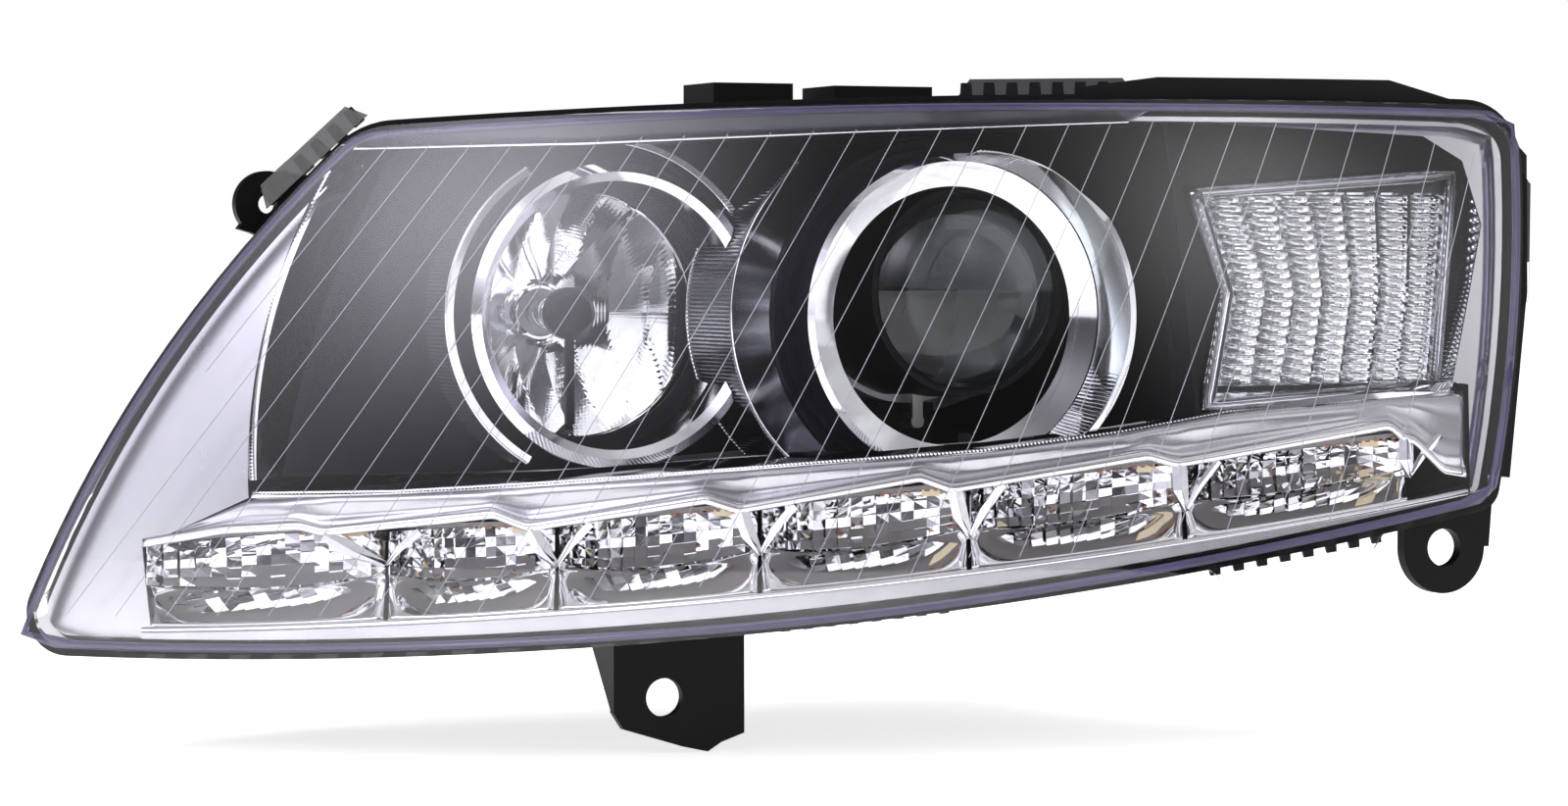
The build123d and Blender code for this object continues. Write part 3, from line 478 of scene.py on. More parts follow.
def ripple_group():
    """Slow ripple and faint haze of metallised or polished surfaces."""
    tree, inlet, outlet = shader_group("metallised_ripple", SURFACE_INPUTS, SURFACE_OUTPUTS)
    slow, haze = tree.nodes.new("ShaderNodeTexNoise"), tree.nodes.new("ShaderNodeTexNoise")
    slow.inputs["Detail"].default_value = 1
    haze.inputs["Detail"].default_value = 6
    haze.inputs["Scale"].default_value = 45
    wire(tree, [(inlet.outputs["Vector"], slow.inputs["Vector"]),
                (inlet.outputs["Vector"], haze.inputs["Vector"]),
                (inlet.outputs["Scale"], slow.inputs["Scale"])])
    colour = mixed(tree, haze.outputs["Fac"], inlet.outputs["Color"], inlet.outputs["Second color"])
    rough = spread_roughness(tree, inlet, haze.outputs["Fac"])
    wire(tree, [(colour, outlet.inputs["Color"]), (rough, outlet.inputs["Roughness"]),
                (slow.outputs["Fac"], outlet.inputs["Height"])])
    return tree


def brushed_group():
    """Fine drawn or turned lines along X with scattered darker flecks."""
    tree, inlet, outlet = shader_group("drawn_lines", SURFACE_INPUTS, SURFACE_OUTPUTS)
    pull, lines, flecks = (tree.nodes.new("ShaderNodeMapping"), tree.nodes.new("ShaderNodeTexNoise"),
                           tree.nodes.new("ShaderNodeTexNoise"))
    pull.inputs["Scale"].default_value = (0.06, 1, 1)
    flecks.inputs["Scale"].default_value = 120
    wire(tree, [(inlet.outputs["Vector"], pull.inputs["Vector"]), (pull.outputs[0], lines.inputs["Vector"]),
                (inlet.outputs["Vector"], flecks.inputs["Vector"]),
                (inlet.outputs["Scale"], lines.inputs["Scale"])])
    colour = mixed(tree, flecks.outputs["Fac"], inlet.outputs["Color"], inlet.outputs["Second color"])
    rough = spread_roughness(tree, inlet, lines.outputs["Fac"])
    wire(tree, [(colour, outlet.inputs["Color"]), (rough, outlet.inputs["Roughness"]),
                (lines.outputs["Fac"], outlet.inputs["Height"])])
    return tree


# ------------------------------------------------------------------ finishes
def surface(name, group, colour, second, scale, roughness, spread, bump, distance=0.0002, metallic=0.0,
            coat=0.0, specular=0.5):
    """A Principled material whose colour, roughness and height come from a surface group."""
    material = bpy.data.materials.new(f"{name}_finish")
    material.use_nodes = True
    material.diffuse_color = (*colour, 1)
    tree = material.node_tree
    shader = tree.nodes["Principled BSDF"]
    place, effect, relief = (tree.nodes.new("ShaderNodeTexCoord"), tree.nodes.new("ShaderNodeGroup"),
                             tree.nodes.new("ShaderNodeBump"))
    effect.node_tree = bpy.data.node_groups[group]
    effect.inputs["Color"].default_value = (*colour, 1)
    effect.inputs["Second color"].default_value = (*second, 1)
    effect.inputs["Scale"].default_value = scale
    effect.inputs["Roughness"].default_value = roughness
    effect.inputs["Spread"].default_value = spread
    relief.inputs["Strength"].default_value = bump
    relief.inputs["Distance"].default_value = distance
    shader.inputs["Metallic"].default_value = metallic
    shader.inputs["Coat Weight"].default_value = coat
    shader.inputs["Specular IOR Level"].default_value = specular
    wire(tree, [(place.outputs["Object"], effect.inputs["Vector"]),
                (effect.outputs["Color"], shader.inputs["Base Color"]),
                (effect.outputs["Roughness"], shader.inputs["Roughness"]),
                (effect.outputs["Height"], relief.inputs["Height"]),
                (relief.outputs[0], shader.inputs["Normal"])])
    return material


def clear(name, colour, ior, roughness, scale, bump):
    """Clear plastic or glass; shadow rays pass, so that what is behind it stays lit."""
    material = surface(name, "metallised_ripple", colour, colour, scale, roughness, 0.0, bump, 0.0001)
    tree = material.node_tree
    shader, out = tree.nodes["Principled BSDF"], tree.nodes["Material Output"]
    for label in ("Base Color", "Roughness"):
        tree.links.remove(shader.inputs[label].links[0])
    shader.inputs["Base Color"].default_value = (*colour, 1)
    shader.inputs["Roughness"].default_value = roughness
    shader.inputs["Transmission Weight"].default_value = 1.0
    shader.inputs["IOR"].default_value = ior
    path, mix, open_air = (tree.nodes.new("ShaderNodeLightPath"), tree.nodes.new("ShaderNodeMixShader"),
                           tree.nodes.new("ShaderNodeBsdfTransparent"))
    open_air.inputs["Color"].default_value = (*colour, 1)
    wire(tree, [(path.outputs["Is Shadow Ray"], mix.inputs[0]), (shader.outputs[0], mix.inputs[1]),
                (open_air.outputs[0], mix.inputs[2]), (mix.outputs[0], out.inputs["Surface"])])
    return material


def metal(name, colour, second, roughness, spread, scale=60.0, bump=0.15, distance=0.0003):
    """Metallised, plated or bare metal."""
    return surface(name, "metallised_ripple", colour, second, scale, roughness, spread, bump, distance,
                   metallic=1.0)


def make_finishes(colours):
    """One material for each finish of the lamp."""
    black, chrome, satin = tuple(colours.moulding), tuple(colours.chrome), tuple(colours.satin)
    clear("clear_polycarbonate", tuple(colours.lens), 1.45, 0.0, 40, 0.02)
    clear("optic_clear", (0.93, 0.94, 0.96), 1.5, 0.03, 120, 0.1)
    clear("optical_glass", (0.86, 0.93, 0.94), 1.52, 0.0, 60, 0.0)
    clear("bulb_glass", (0.95, 0.96, 0.98), 1.5, 0.0, 60, 0.0)
    # lens_line: the moulded ridges are real, but their grey-white colour is a painted glint of light on clear
    # plastic
    surface("lens_line", "moulded_grain", (0.5, 0.5, 0.54), (0.38, 0.38, 0.44), 300, 0.25, 0.1, 0.1, coat=0.3)
    surface("lens_edge", "metallised_ripple", tuple(colours.lens_edge), (0.02, 0.015, 0.05), 90, 0.12, 0.08,
            0.1, coat=0.6)
    surface("black_moulding", "moulded_grain", black, (0.006, 0.006, 0.0065), 900, 0.5, 0.16, 0.12, 0.0001,
            specular=0.12)
    surface("mask_black", "moulded_grain", (0.004, 0.004, 0.006), (0.006, 0.006, 0.009), 500, 0.34, 0.08,
            0.03, 0.0001, specular=0.1)
    surface("seal_rubber", "moulded_grain", (0.008, 0.008, 0.009), (0.014, 0.014, 0.014), 500, 0.75, 0.2, 0.3,
            specular=0.2)
    metal("satin_metallised", satin, (0.58, 0.58, 0.61), 0.26, 0.1, 70, 0.1)
    metal("lip_metallised", (0.92, 0.9, 0.9), (0.85, 0.83, 0.85), 0.24, 0.08, 70, 0.08)
    metal("bright_metallised", chrome, (0.84, 0.84, 0.86), 0.09, 0.06)
    metal("reflector_metallised", (0.92, 0.92, 0.93), (0.86, 0.86, 0.88), 0.04, 0.03, 50, 0.1)
    metal("ring_chrome", (0.95, 0.95, 0.96), (0.88, 0.88, 0.9), 0.07, 0.05, 80, 0.08)
    metal("dark_chrome", (0.34, 0.34, 0.37), (0.26, 0.26, 0.29), 0.16, 0.08, 80, 0.1)
    surface("painted_steel", "moulded_grain", (0.004, 0.004, 0.0045), (0.007, 0.007, 0.008), 350, 0.45, 0.12,
            0.1, specular=0.12)
    surface("screw_steel", "drawn_lines", (0.62, 0.62, 0.6), (0.45, 0.44, 0.4), 900, 0.32, 0.15, 0.2,
            metallic=1.0)
    surface("cast_aluminium", "moulded_grain", (0.58, 0.59, 0.6), (0.46, 0.47, 0.48), 420, 0.45, 0.2, 0.5,
            metallic=1.0)
    surface("grey_plastic", "moulded_grain", (0.2, 0.205, 0.22), (0.26, 0.265, 0.28), 700, 0.5, 0.15, 0.25)
    surface("white_plastic", "moulded_grain", (0.78, 0.77, 0.72), (0.7, 0.69, 0.63), 500, 0.42, 0.12, 0.15)
    surface("ceramic_base", "moulded_grain", (0.74, 0.71, 0.64), (0.62, 0.59, 0.52), 800, 0.62, 0.15, 0.3)
    surface("spring_steel", "drawn_lines", (0.55, 0.55, 0.57), (0.4, 0.39, 0.36), 1400, 0.28, 0.12, 0.15,
            metallic=1.0)
    surface("board_cover", "moulded_grain", (0.42, 0.41, 0.41), (0.3, 0.27, 0.26), 300, 0.4, 0.1, 0.15)
    surface("copper_pads", "moulded_grain", (0.5, 0.25, 0.13), (0.3, 0.1, 0.05), 500, 0.3, 0.1, 0.2,
            metallic=0.3)
    phosphor = surface("led_phosphor", "moulded_grain", (0.95, 0.8, 0.5), (0.98, 0.9, 0.72), 900, 0.4, 0.1,
                       0.2)
    phosphor.node_tree.nodes["Principled BSDF"].inputs["Emission Color"].default_value = (1, 0.82, 0.55, 1)
    phosphor.node_tree.nodes["Principled BSDF"].inputs["Emission Strength"].default_value = 0.25
    paper = surface("floor_paper", "moulded_grain", (0.9, 0.9, 0.9), (0.92, 0.92, 0.92), 40, 0.9, 0.05, 0.05)
    paper.node_tree.nodes["Principled BSDF"].inputs["Emission Color"].default_value = (1, 1, 1, 1)
    paper.node_tree.nodes["Principled BSDF"].inputs["Emission Strength"].default_value = 0.75


def finish(name):
    return bpy.data.materials[f"{name}_finish"]


# ------------------------------------------------------------------ settings
class HeadlightSizes(bpy.types.PropertyGroup):
    """Sizes that set how fine the lamp's detail is."""
    flute_pitch: FloatProperty(name="Flute pitch", description="Distance between two flutes of the trim",
                               default=0.00145, min=0.0005, unit="LENGTH")
    flute_depth: FloatProperty(name="Flute depth", description="How far a flute stands up", default=0.0006,
                               min=0.0, unit="LENGTH")
    shelf_pitch: FloatProperty(name="Shelf flute pitch",
                               description="Distance between two flutes of the shelf",
                               default=0.0013, min=0.0005, unit="LENGTH")
    lens_line_count: IntProperty(name="Lens lines", description="Moulded lines across the lens", default=27,
                                 min=1)
    lens_line_radius: FloatProperty(name="Lens line radius", description="Half the width of a lens line",
                                    default=0.00016, min=0.00005, unit="LENGTH")
    prism_rows: IntProperty(name="Prism rows", description="Rows of pillows on the turn signal's optic",
                            default=20, min=2)
    prism_columns: IntProperty(name="Prism columns",
                               description="Columns of pillows on the turn signal's optic", default=7, min=2)
    cell_facets: IntProperty(name="Cell facets", description="Facets across each daytime reflector",
                             default=16, min=4)
    tooth_width: FloatProperty(name="Tooth width", description="Width of the housing's comb teeth",
                               default=0.0045, min=0.001, unit="LENGTH")


class HeadlightColours(bpy.types.PropertyGroup):
    """Colours of the main finishes."""
    lens: FloatVectorProperty(name="Lens", description="Tint of the clear cover", subtype="COLOR", size=3,
                              default=(0.965, 0.965, 0.985), min=0, max=1)
    lens_edge: FloatVectorProperty(name="Lens edge", description="Dark violet of the cover's skirt",
                                   subtype="COLOR", size=3, default=(0.07, 0.06, 0.14), min=0, max=1)
    chrome: FloatVectorProperty(name="Bright trim", description="Mirror-metallised trim", subtype="COLOR",
                                size=3, default=(0.92, 0.92, 0.94), min=0, max=1)
    satin: FloatVectorProperty(name="Satin trim", description="Satin-metallised trim", subtype="COLOR",
                               size=3, default=(0.68, 0.675, 0.7), min=0, max=1)
    moulding: FloatVectorProperty(name="Housing", description="Black moulded plastic", subtype="COLOR",
                                  size=3, default=(0.003, 0.003, 0.0035), min=0, max=1)


# ------------------------------------------------------------------ operators
def settings():
    """The lamp's sizes and colours."""
    scene = bpy.context.scene
    return scene.headlight_sizes, scene.headlight_colours


class HEADLIGHT_OT_finishes(bpy.types.Operator):
    """Make the node groups and finishes, and paint every CAD piece with its own finish"""
    bl_idname = "headlight.finishes"
    bl_label = "Finishes"

    def execute(self, context):
        for make in (repeat_tree, path_tree, flute_tree, grain_group, ripple_group, brushed_group):
            make()
        make_finishes(settings()[1])
        own = {"turn_signal_optic": "optic_clear", "drl_circuit_board": "board_cover"}
        for part in frame["record"]["subparts"]:
            node = frame["nodes"][part["node"]]
            node.data.materials.clear()
            node.data.materials.append(finish(own.get(part["node"], part["material_slot"])))
        return {"FINISHED"}


def lens_lines(sizes):
    """Thin moulded lines that slant across the lens, steeper towards the inboard end; the lines are real, but
    their grey colour is a painted glint.
    """
    paths = []
    last = sizes.lens_line_count - 1
    for number in range(sizes.lens_line_count):
        share = number / last
        top_u = -95 + 388 * share
        top_w = line_height([(-112, 197), (165.5, 206), (262, 206.5), (296, 196)], top_u)
        slope = radians(51 + 22 * share)
        path = []
        for step in range(25):
            drop = 190 * step / 24
            u, w = top_u - drop / (sin(slope) / cos(slope)), top_w - drop
            if w < lip_height(u) or u < -215 + (w - 30) * 0.62:
                break
            path.append(on_crown(u, w, LENS_T + 0.1))
        if len(path) > 2:
            paths.append(path)
    piece = beads("lens_lines", paths, sizes.lens_line_radius, finish("lens_line"), sides=5)
    return done(piece, BODY, "clear_polycarbonate")


def lens_edge_band():
    """Dark violet band seen through the lens's edge."""
    steps = 220
    rows = []
    for grow, offset in ((-3.15, 3.6), (-5.7, 4.4), (-5.7, 9.0)):
        row = []
        for step in range(steps + 1):
            u, w = outline_at(2 * pi * step / steps, grow)
            row.append(on_crown(u, w, offset))
        rows.append(row)
    piece = face_towards(new_piece("lens_edge_band", *grid(rows)), lamp_point(0, 0, 1))
    piece.data.materials.append(finish("lens_edge"))
    return done(give_wall(piece, 0.4 * MM), BODY, "clear_polycarbonate")


def skirt_depth(u, back):
    """d of the plane curve `back` behind the crown."""
    return CROWN_D - PLAN_R + sqrt((PLAN_R - back) ** 2 - (u - CROWN_U) ** 2)


COMBS = [  # name, first u and w, last u and w, teeth, how far the teeth stand out
    ("upper_outboard", (-141, 176), (-104, 209), 6, 6.5),
    ("upper_middle", (104, 213.5), (169, 214.5), 8, 6.5),
    ("inboard", (313, 139), (313.5, 190), 7, 2.6),
    ("lower_inboard", (193, 49.5), (262, 61), 8, 5.0),
    ("lower_middle", (40, 31), (104, 38), 8, 4.5),
]


def comb_spots(start, end, count, reach, back):
    """Where a comb's teeth stand: along the line, pointing away from the lens's middle."""
    line = Vector((end[0] - start[0], end[1] - start[1]))
    out = Vector((-line.y, line.x)).normalized()
    middle = Vector(((start[0] + end[0]) / 2 - LENS_CENTRE[0], (start[1] + end[1]) / 2 - LENS_CENTRE[1]))
    if out.dot(middle) < 0:
        out = -out
    side_axis = lamp_point(line.x, line.y, 0) - lamp_point(0, 0, 0)
    out_axis = lamp_point(out.x, out.y, 0) - lamp_point(0, 0, 0)
    spots = []
    for number in range(count):
        u, w = start[0] + line.x * (number + 0.5) / count, start[1] + line.y * (number + 0.5) / count
        spots.append((lamp_point(u, w, skirt_depth(u, back)), side_axis, out_axis, (1, reach, 1)))
    return spots, out


class HEADLIGHT_OT_lens(bpy.types.Operator):
    """Moulded lines across the lens, its dark edge and the combs round it"""
    bl_idname = "headlight.lens"
    bl_label = "Lens details"

    def execute(self, context):
        sizes, _ = settings()
        lens_lines(sizes)
        lens_edge_band()
        block = tapered_block(0.78)
        for name, start, end, count, reach in COMBS:
            spots, out = comb_spots(start, end, count, reach, 40)
            teeth = repeated(f"comb_teeth_{name}", spots, block, finish("black_moulding"),
                             width=sizes.tooth_width, depth=MM, length=5 * MM)
            done(teeth, BODY, "black_moulding")
            tab_plate(name, start, end, out, reach + 1.2)
        return {"FINISHED"}


def tab_plate(name, start, end, out, reach):
    """Clear tab that carries the comb, standing out of the lens's skirt."""
    steps = 12
    rows = []
    for inset in (0.0, 1.0):
        row = []
        for step in range(steps + 1):
            share = step / steps
            u, w = start[0] + (end[0] - start[0]) * share, start[1] + (end[1] - start[1]) * share
            ramp = min(1.0, share * 12, (1 - share) * 12) * reach * inset
            row.append(lamp_point(u + out.x * ramp, w + out.y * ramp, skirt_depth(u, 35)))
        rows.append(row)
    piece = face_towards(new_piece(f"lens_tab_{name}", *grid(rows), smooth=False), lamp_point(0, 0, 1))
    piece.data.materials.append(finish("clear_polycarbonate"))
    return done(give_wall(piece, 1.4 * MM), BODY, "clear_polycarbonate")


# ------------------------------------------------------------------ fluted trim
def between(line, offset=None, depth=None):
    """A (u, w) polyline as a function of 0 to 1, on the crown at `offset` or at a plain depth."""
    first, last = line[0][0], line[-1][0]

    def place(share):
        u = first + (last - first) * share
        w = line_height(line, u)
        return on_crown(u, w, offset) if depth is None else lamp_point(u, w, depth)
    return place


def arc_between(a, b, c):
    """A curve through three (u, w, d) points, as a function of 0 to 1."""
    a, b, c = Vector(a), Vector(b), Vector(c)
    middle = 2 * b - (a + c) / 2

    def place(share):
        point = a.lerp(middle, share).lerp(middle.lerp(c, share), share)
        return lamp_point(*point)
    return place


def ring_edge(radius, y, x, z, start, sweep):
    """Part of a circle round a beam axis, as a function of 0 to 1."""
    def place(share):
        turn = radians(start + sweep * share)
        return Vector((x + radius * cos(turn), y, z + radius * sin(turn))) * MM
    return place


def run_length(edge, steps=24):
    """Length of an edge function, metres."""
    return sum((edge((i + 1) / steps) - edge(i / steps)).length for i in range(steps))


def sampled(edge, steps):
    """Points at even steps along an edge function."""
    return [edge(i / steps) for i in range(steps + 1)]


def raised(line, lift):
    """A (u, w) polyline moved up."""
    return [(u, w + lift) for u, w in line]


INBOARD_PITCH = 2.4 * MM                    # the strip beside the turn signal has coarser flutes
FORWARD = lamp_point(0, 0, 1)
UP = Vector((0, 0, 1))


class HEADLIGHT_OT_trim_flutes(bpy.types.Operator):
    """Fine flutes on the shelf, the upper rail, the outboard arc and beside the turn signal"""
    bl_idname = "headlight.trim_flutes"
    bl_label = "Trim flutes"

    def execute(self, context):
        sizes, _ = settings()
        pitch, depth = sizes.flute_pitch, sizes.flute_depth
        bands = (
            ("shelf_flutes", between(raised(SHELF_BACK, 0.6), depth=2.5),
             between(raised(SHELF_FRONT, 0.7), offset=17.6), sizes.shelf_pitch, 0.55, UP, 6.0,
             "bright_metallised"),
            ("rail_flutes", between(RAIL_HIGH, offset=12.6), between(raised(RAIL_LOW, 0.4), offset=13.4),
             pitch * 0.85, 0.7, FORWARD, 3.0, "dark_chrome"),
            ("outboard_arc_flutes", arc_between((-112.5, 197, 19.5), (-139.2, 135.5, 27.5), (-144, 80, 33.5)),
             arc_between((-107.5, 191.5, 4.5), (-130.4, 136, 3.5), (-125.3, 80.8, 2.5)), pitch, 0.8,
             Vector((0.75, -0.65, 0)), 0.5, "bright_metallised"),
            ("inboard_flutes", between([(278.5, 112.5), (288, 150), (292, 188)], offset=31),
             between([(287, 113.5), (294.5, 150), (298.5, 187)], offset=15), INBOARD_PITCH, 0.9,
             Vector((-0.8, -0.6, 0)), 0.0, "bright_metallised"),
        )
        for name, near, far, step, share, towards, slant, slot_name in bands:
            count = max(4, round(run_length(near) / step))
            piece = fluted(name, near, far, count, depth * share, finish(slot_name), towards, slant=slant)
            done(piece, BODY, slot_name)
        rims = [
            sampled(between(raised(SHELF_BACK, 0.8), depth=2), 60),
            sampled(between(raised(RAIL_LOW, 0.2), offset=12.6), 60),
            sampled(between(raised(RAIL_HIGH, 0.9), offset=11.5), 60),
            sampled(arc_between((-107, 191.5, 3.6), (-129.8, 136, 2.6), (-124.9, 80.9, 1.8)), 40),
        ]
        done(beads("trim_edge_beads", rims, 0.55 * MM, finish("ring_chrome")), BODY, "bright_metallised")
        return {"FINISHED"}


# ------------------------------------------------------------------ brow, struts and lip
BROW_OFFSET = 15                            # the brow's plane, behind the crown
BROW_ROWS = [  # share of the way down, extra depth behind the brow's plane, how much a facet moves it
    (0.0, 2.6, 0.0), (0.1, 0.4, 0.0), (0.35, 1.2, 0.8), (0.62, 2.0, 1.0), (0.82, 1.8, 0.8)]
LIP_ROWS = [(3.4, -1.0), (3.0, -1.9), (0.6, -1.9), (0.0, -1.2), (0.0, 5.0)]     # height above the edge, depth


def brow_edge():
    """The brow's lower edge from outboard to inboard."""
    edge = [(-183.6, 55.6), (-154, 61)]
    for peak, kink, _ in BROW_STRUTS:
        edge += [peak, kink]
    return edge + [(268, 92), (279, 81.5), (287.5, 80)]


def brow_facet(u):
    """Soft crease of the brow's face: 0 at a strut's kink, 1 between two struts."""
    kinks = [-184] + [strut[1][0] for strut in BROW_STRUTS] + [300]
    for low, high in zip(kinks, kinks[1:]):
        if u <= high:
            share = (u - low) / (high - low)
            return min(share / 0.72, (1 - share) / 0.28)
    return 0.0


class HEADLIGHT_OT_brow(bpy.types.Operator):
    """Faceted brow with its pale lip, over the daytime lights"""
    bl_idname = "headlight.brow"
    bl_label = "Brow"

    def execute(self, context):
        edge = brow_edge()
        crest = [(-183.6, 56.2), (-144, 74), *SHELF_FRONT[1:-1], (287.5, 111)]
        columns, lip_top, crease_depth, slant = 240, LIP_ROWS[0][0], 2.2, 9
        span = edge[-1][0] - edge[0][0]
        face, lip = [], []
        for share, depth, facet in BROW_ROWS:
            row = []
            for c in range(columns + 1):
                u = edge[0][0] + span * c / columns
                low, high = line_height(edge, u) + lip_top, line_height(crest, u)
                high = max(high, low + 0.2)
                crease = facet * crease_depth * brow_facet(u - share * slant)
                row.append(on_crown(u, high + (low - high) * share, BROW_OFFSET + depth - crease))
            face.append(row)
        face.append([on_crown(edge[0][0] + span * c / columns,
                              line_height(edge, edge[0][0] + span * c / columns) + lip_top, BROW_OFFSET - 0.8)
                     for c in range(columns + 1)])
        for up, depth in LIP_ROWS:
            lip.append([on_crown(edge[0][0] + span * c / columns,
                                 line_height(edge, edge[0][0] + span * c / columns) + up, BROW_OFFSET + depth)
                        for c in range(columns + 1)])
        brow = face_towards(new_piece("brow_face", *grid(face)), FORWARD)
        brow.data.materials.append(finish("satin_metallised"))
        done(give_wall(brow, MM), BODY, "satin_metallised", "drl_brow")
        rim = face_towards(new_piece("brow_lip", *grid(lip)), FORWARD)
        rim.data.materials.append(finish("lip_metallised"))
        done(give_wall(rim, 0.6 * MM), BODY, "satin_metallised")
        return {"FINISHED"}


def strut_bar(name, path, width, crest):
    """A ridged bar through (u, w) points: two sloping faces that meet on a crest line."""
    rows = []
    for side, depth in ((-1, 22), (-1, 14.5), (0, crest), (1, 14.5), (1, 22)):
        row = []
        for index, (u, w) in enumerate(path):
            before, after = path[max(index - 1, 0)], path[min(index + 1, len(path) - 1)]
            along = Vector((after[0] - before[0], after[1] - before[1])).normalized()
            reach = side * width / 2 * (0.45 if index == len(path) - 1 else 1)
            row.append(on_crown(u - along.y * reach, w + along.x * reach, depth))
        rows.append(row)
    return face_towards(new_piece(name, *grid(rows), smooth=False), FORWARD)


def joined(name, pieces):
    """One piece from several sheets or solids."""
    shape = bmesh.new()
    for piece in pieces:
        shape.from_mesh(piece.data)
        bpy.data.objects.remove(piece)
    mesh = bpy.data.meshes.new(name)
    shape.to_mesh(mesh)
    shape.free()
    result = bpy.data.objects.new(name, mesh)
    bpy.context.scene.collection.objects.link(result)
    return result


class HEADLIGHT_OT_struts(bpy.types.Operator):
    """V-shaped chrome struts that hang from the brow between the daytime cells"""
    bl_idname = "headlight.struts"
    bl_label = "Struts"

    def execute(self, context):
        for number, (_, kink, tip) in enumerate(BROW_STRUTS, 1):
            board = line_height(BOARD_LINE, tip[0] + 13) - 1
            halfway = ((kink[0] + tip[0]) / 2, (kink[1] + tip[1]) / 2)
            left = strut_bar("left", [(kink[0] + 1, kink[1] + 1), halfway, tip], 5.4, 12.6)
            bend = (tip[0] + 5, (board + tip[1]) / 2)
            right = strut_bar("right", [(tip[0] + 12, board), bend, tip], 2.6, 14.0)
            piece = joined(f"brow_strut_{number}", [give_wall(left, 0.8 * MM), give_wall(right, 0.8 * MM)])
            piece.data.materials.append(finish("bright_metallised"))
            done(piece, BODY, "bright_metallised")
        return {"FINISHED"}


# ------------------------------------------------------------------ daytime cells
def wander(a, b):
    """A fixed, uneven number from -1 to 1 for facet a, b."""
    return sin(a * 12.9898 + b * 78.233) * cos(a * 4.1 - b * 2.7)


def cell_point(start, end, across, down):
    """A point of a cell's bowl; across and down run 0 to 1."""
    u = start + 0.9 + (end - start - 1.8) * across
    top, low = line_height(BOARD_LINE, u) - 1.4, lip_height(u) + 1.2
    split = 0.5 + 0.12 * (2 * across - 1) ** 2
    bowl = 1 - abs(2 * across - 1) ** 2.4
    if down < split:
        share = down / split
        depth = 21 + (20 * bowl) * (0.75 + 0.25 * sin(pi * share))
        return u, top + (low - top) * 0.62 * share, depth
    share = (down - split) / (1 - split)
    depth = 21 + 20 * bowl * 0.75 * (1 - share) ** 1.3
    height = 0.62 + 0.38 * share
    return u, top + (low - top) * height, depth - 7 * share


class HEADLIGHT_OT_daytime_cells(bpy.types.Operator):
    """Six faceted reflector cells, each with a smooth tray below"""
    bl_idname = "headlight.daytime_cells"
    bl_label = "Daytime cells"

    def execute(self, context):
        sizes, _ = settings()
        sheets = []
        for number, (start, end) in enumerate(zip(CELL_ENDS, CELL_ENDS[1:])):
            facets, bands = sizes.cell_facets, 5
            points, faces = [], []
            for a in range(facets):
                for b in range(bands):
                    first = len(points)
                    tilt = 1.1 * wander(a + 17 * number, b)
                    for da, db in ((0, 0), (1, 0), (1, 1), (0, 1)):
                        u, w, depth = cell_point(start, end, (a + da) / facets, 0.5 * (b + db) / bands)
                        groove = 1.2 if da else 0.0
                        step = 0.8 if db else 0.0
                        points.append(on_crown(u, w, depth + groove + step * tilt))
                    faces.append((first, first + 1, first + 2, first + 3))
                    if a:
                        faces.append((first - 4 * bands + 1, first, first + 3, first - 4 * bands + 2))
            walls = face_towards(new_piece("cell_walls", points, faces, smooth=False), FORWARD)
            rows = []
            for step in range(13):
                down = 0.5 + 0.5 * step / 12
                rows.append([on_crown(*cell_point(start, end, c / 24, down)) for c in range(25)])
            tray = face_towards(new_piece("cell_tray", *grid(rows)), FORWARD)
            sheets += [give_wall(walls, 0.5 * MM), give_wall(tray, 0.5 * MM)]
        piece = joined("daytime_reflector", sheets)
        piece.data.materials.append(finish("reflector_metallised"))
        done(piece, BODY, "reflector_metallised", "drl_reflector")
        board_pads()
        lip_bead()
        return {"FINISHED"}


def board_pads():
    """Tinned pads and small parts on the circuit board's front edge."""
    spots = []
    for start, end in zip(CELL_ENDS, CELL_ENDS[1:]):
        for number in range(9):
            u = end - 30 + number * 3.1
            if u > end - 3:
                continue
            w = line_height(BOARD_LINE, u) + 0.1
            side = lamp_point(1, 0, 0)
            spots.append((on_crown(u, w, 18.2 + 2.6 * (number % 2)), side, Vector((0, 0, -1)),
                          (1.0 + 0.4 * wander(number, start), 1, 1)))
    piece = repeated("board_pads", spots, tapered_block(0.9), finish("copper_pads"), width=1.5 * MM,
                     depth=0.9 * MM, length=1.8 * MM)
    done(piece, BODY, "circuit_board")


def lip_bead():
    """Bright bead along the top of the lower trim."""
    path = [on_crown(u, lip_height(u) + 0.3, 9.6) for u in [-183 + 470 * i / 90 for i in range(91)]]
    bead = beads("lower_lip_bead", [path], 1.1 * MM, finish("lip_metallised"), sides=10)
    done(bead, BODY, "bright_metallised")


# ------------------------------------------------------------------ projector and high beam
def y_ribs(name, radius, y0, y1, x, z, start, sweep, pitch, depth, slot_name):
    """Flutes along the beam on the outside of a cuff."""
    near, far = ring_edge(radius, y0, x, z, start, sweep), ring_edge(radius, y1, x, z, start, sweep)
    middle = near(0.5) - Vector((x, y0, z)) * MM
    count = round(run_length(near) / pitch)
    return fluted(name, near, far, count, depth, finish(slot_name), middle)


def ends_only(share):
    """Full height near both ends of a collar, nothing between."""
    return max(0.0, 1 - share / 0.22, 1 - (1 - share) / 0.16)


def ring_path(radius, y, x, z, start=0, sweep=360, steps=160):
    edge = ring_edge(radius, y, x, z, start, sweep)
    return [edge(i / steps) for i in range(steps + 1)]


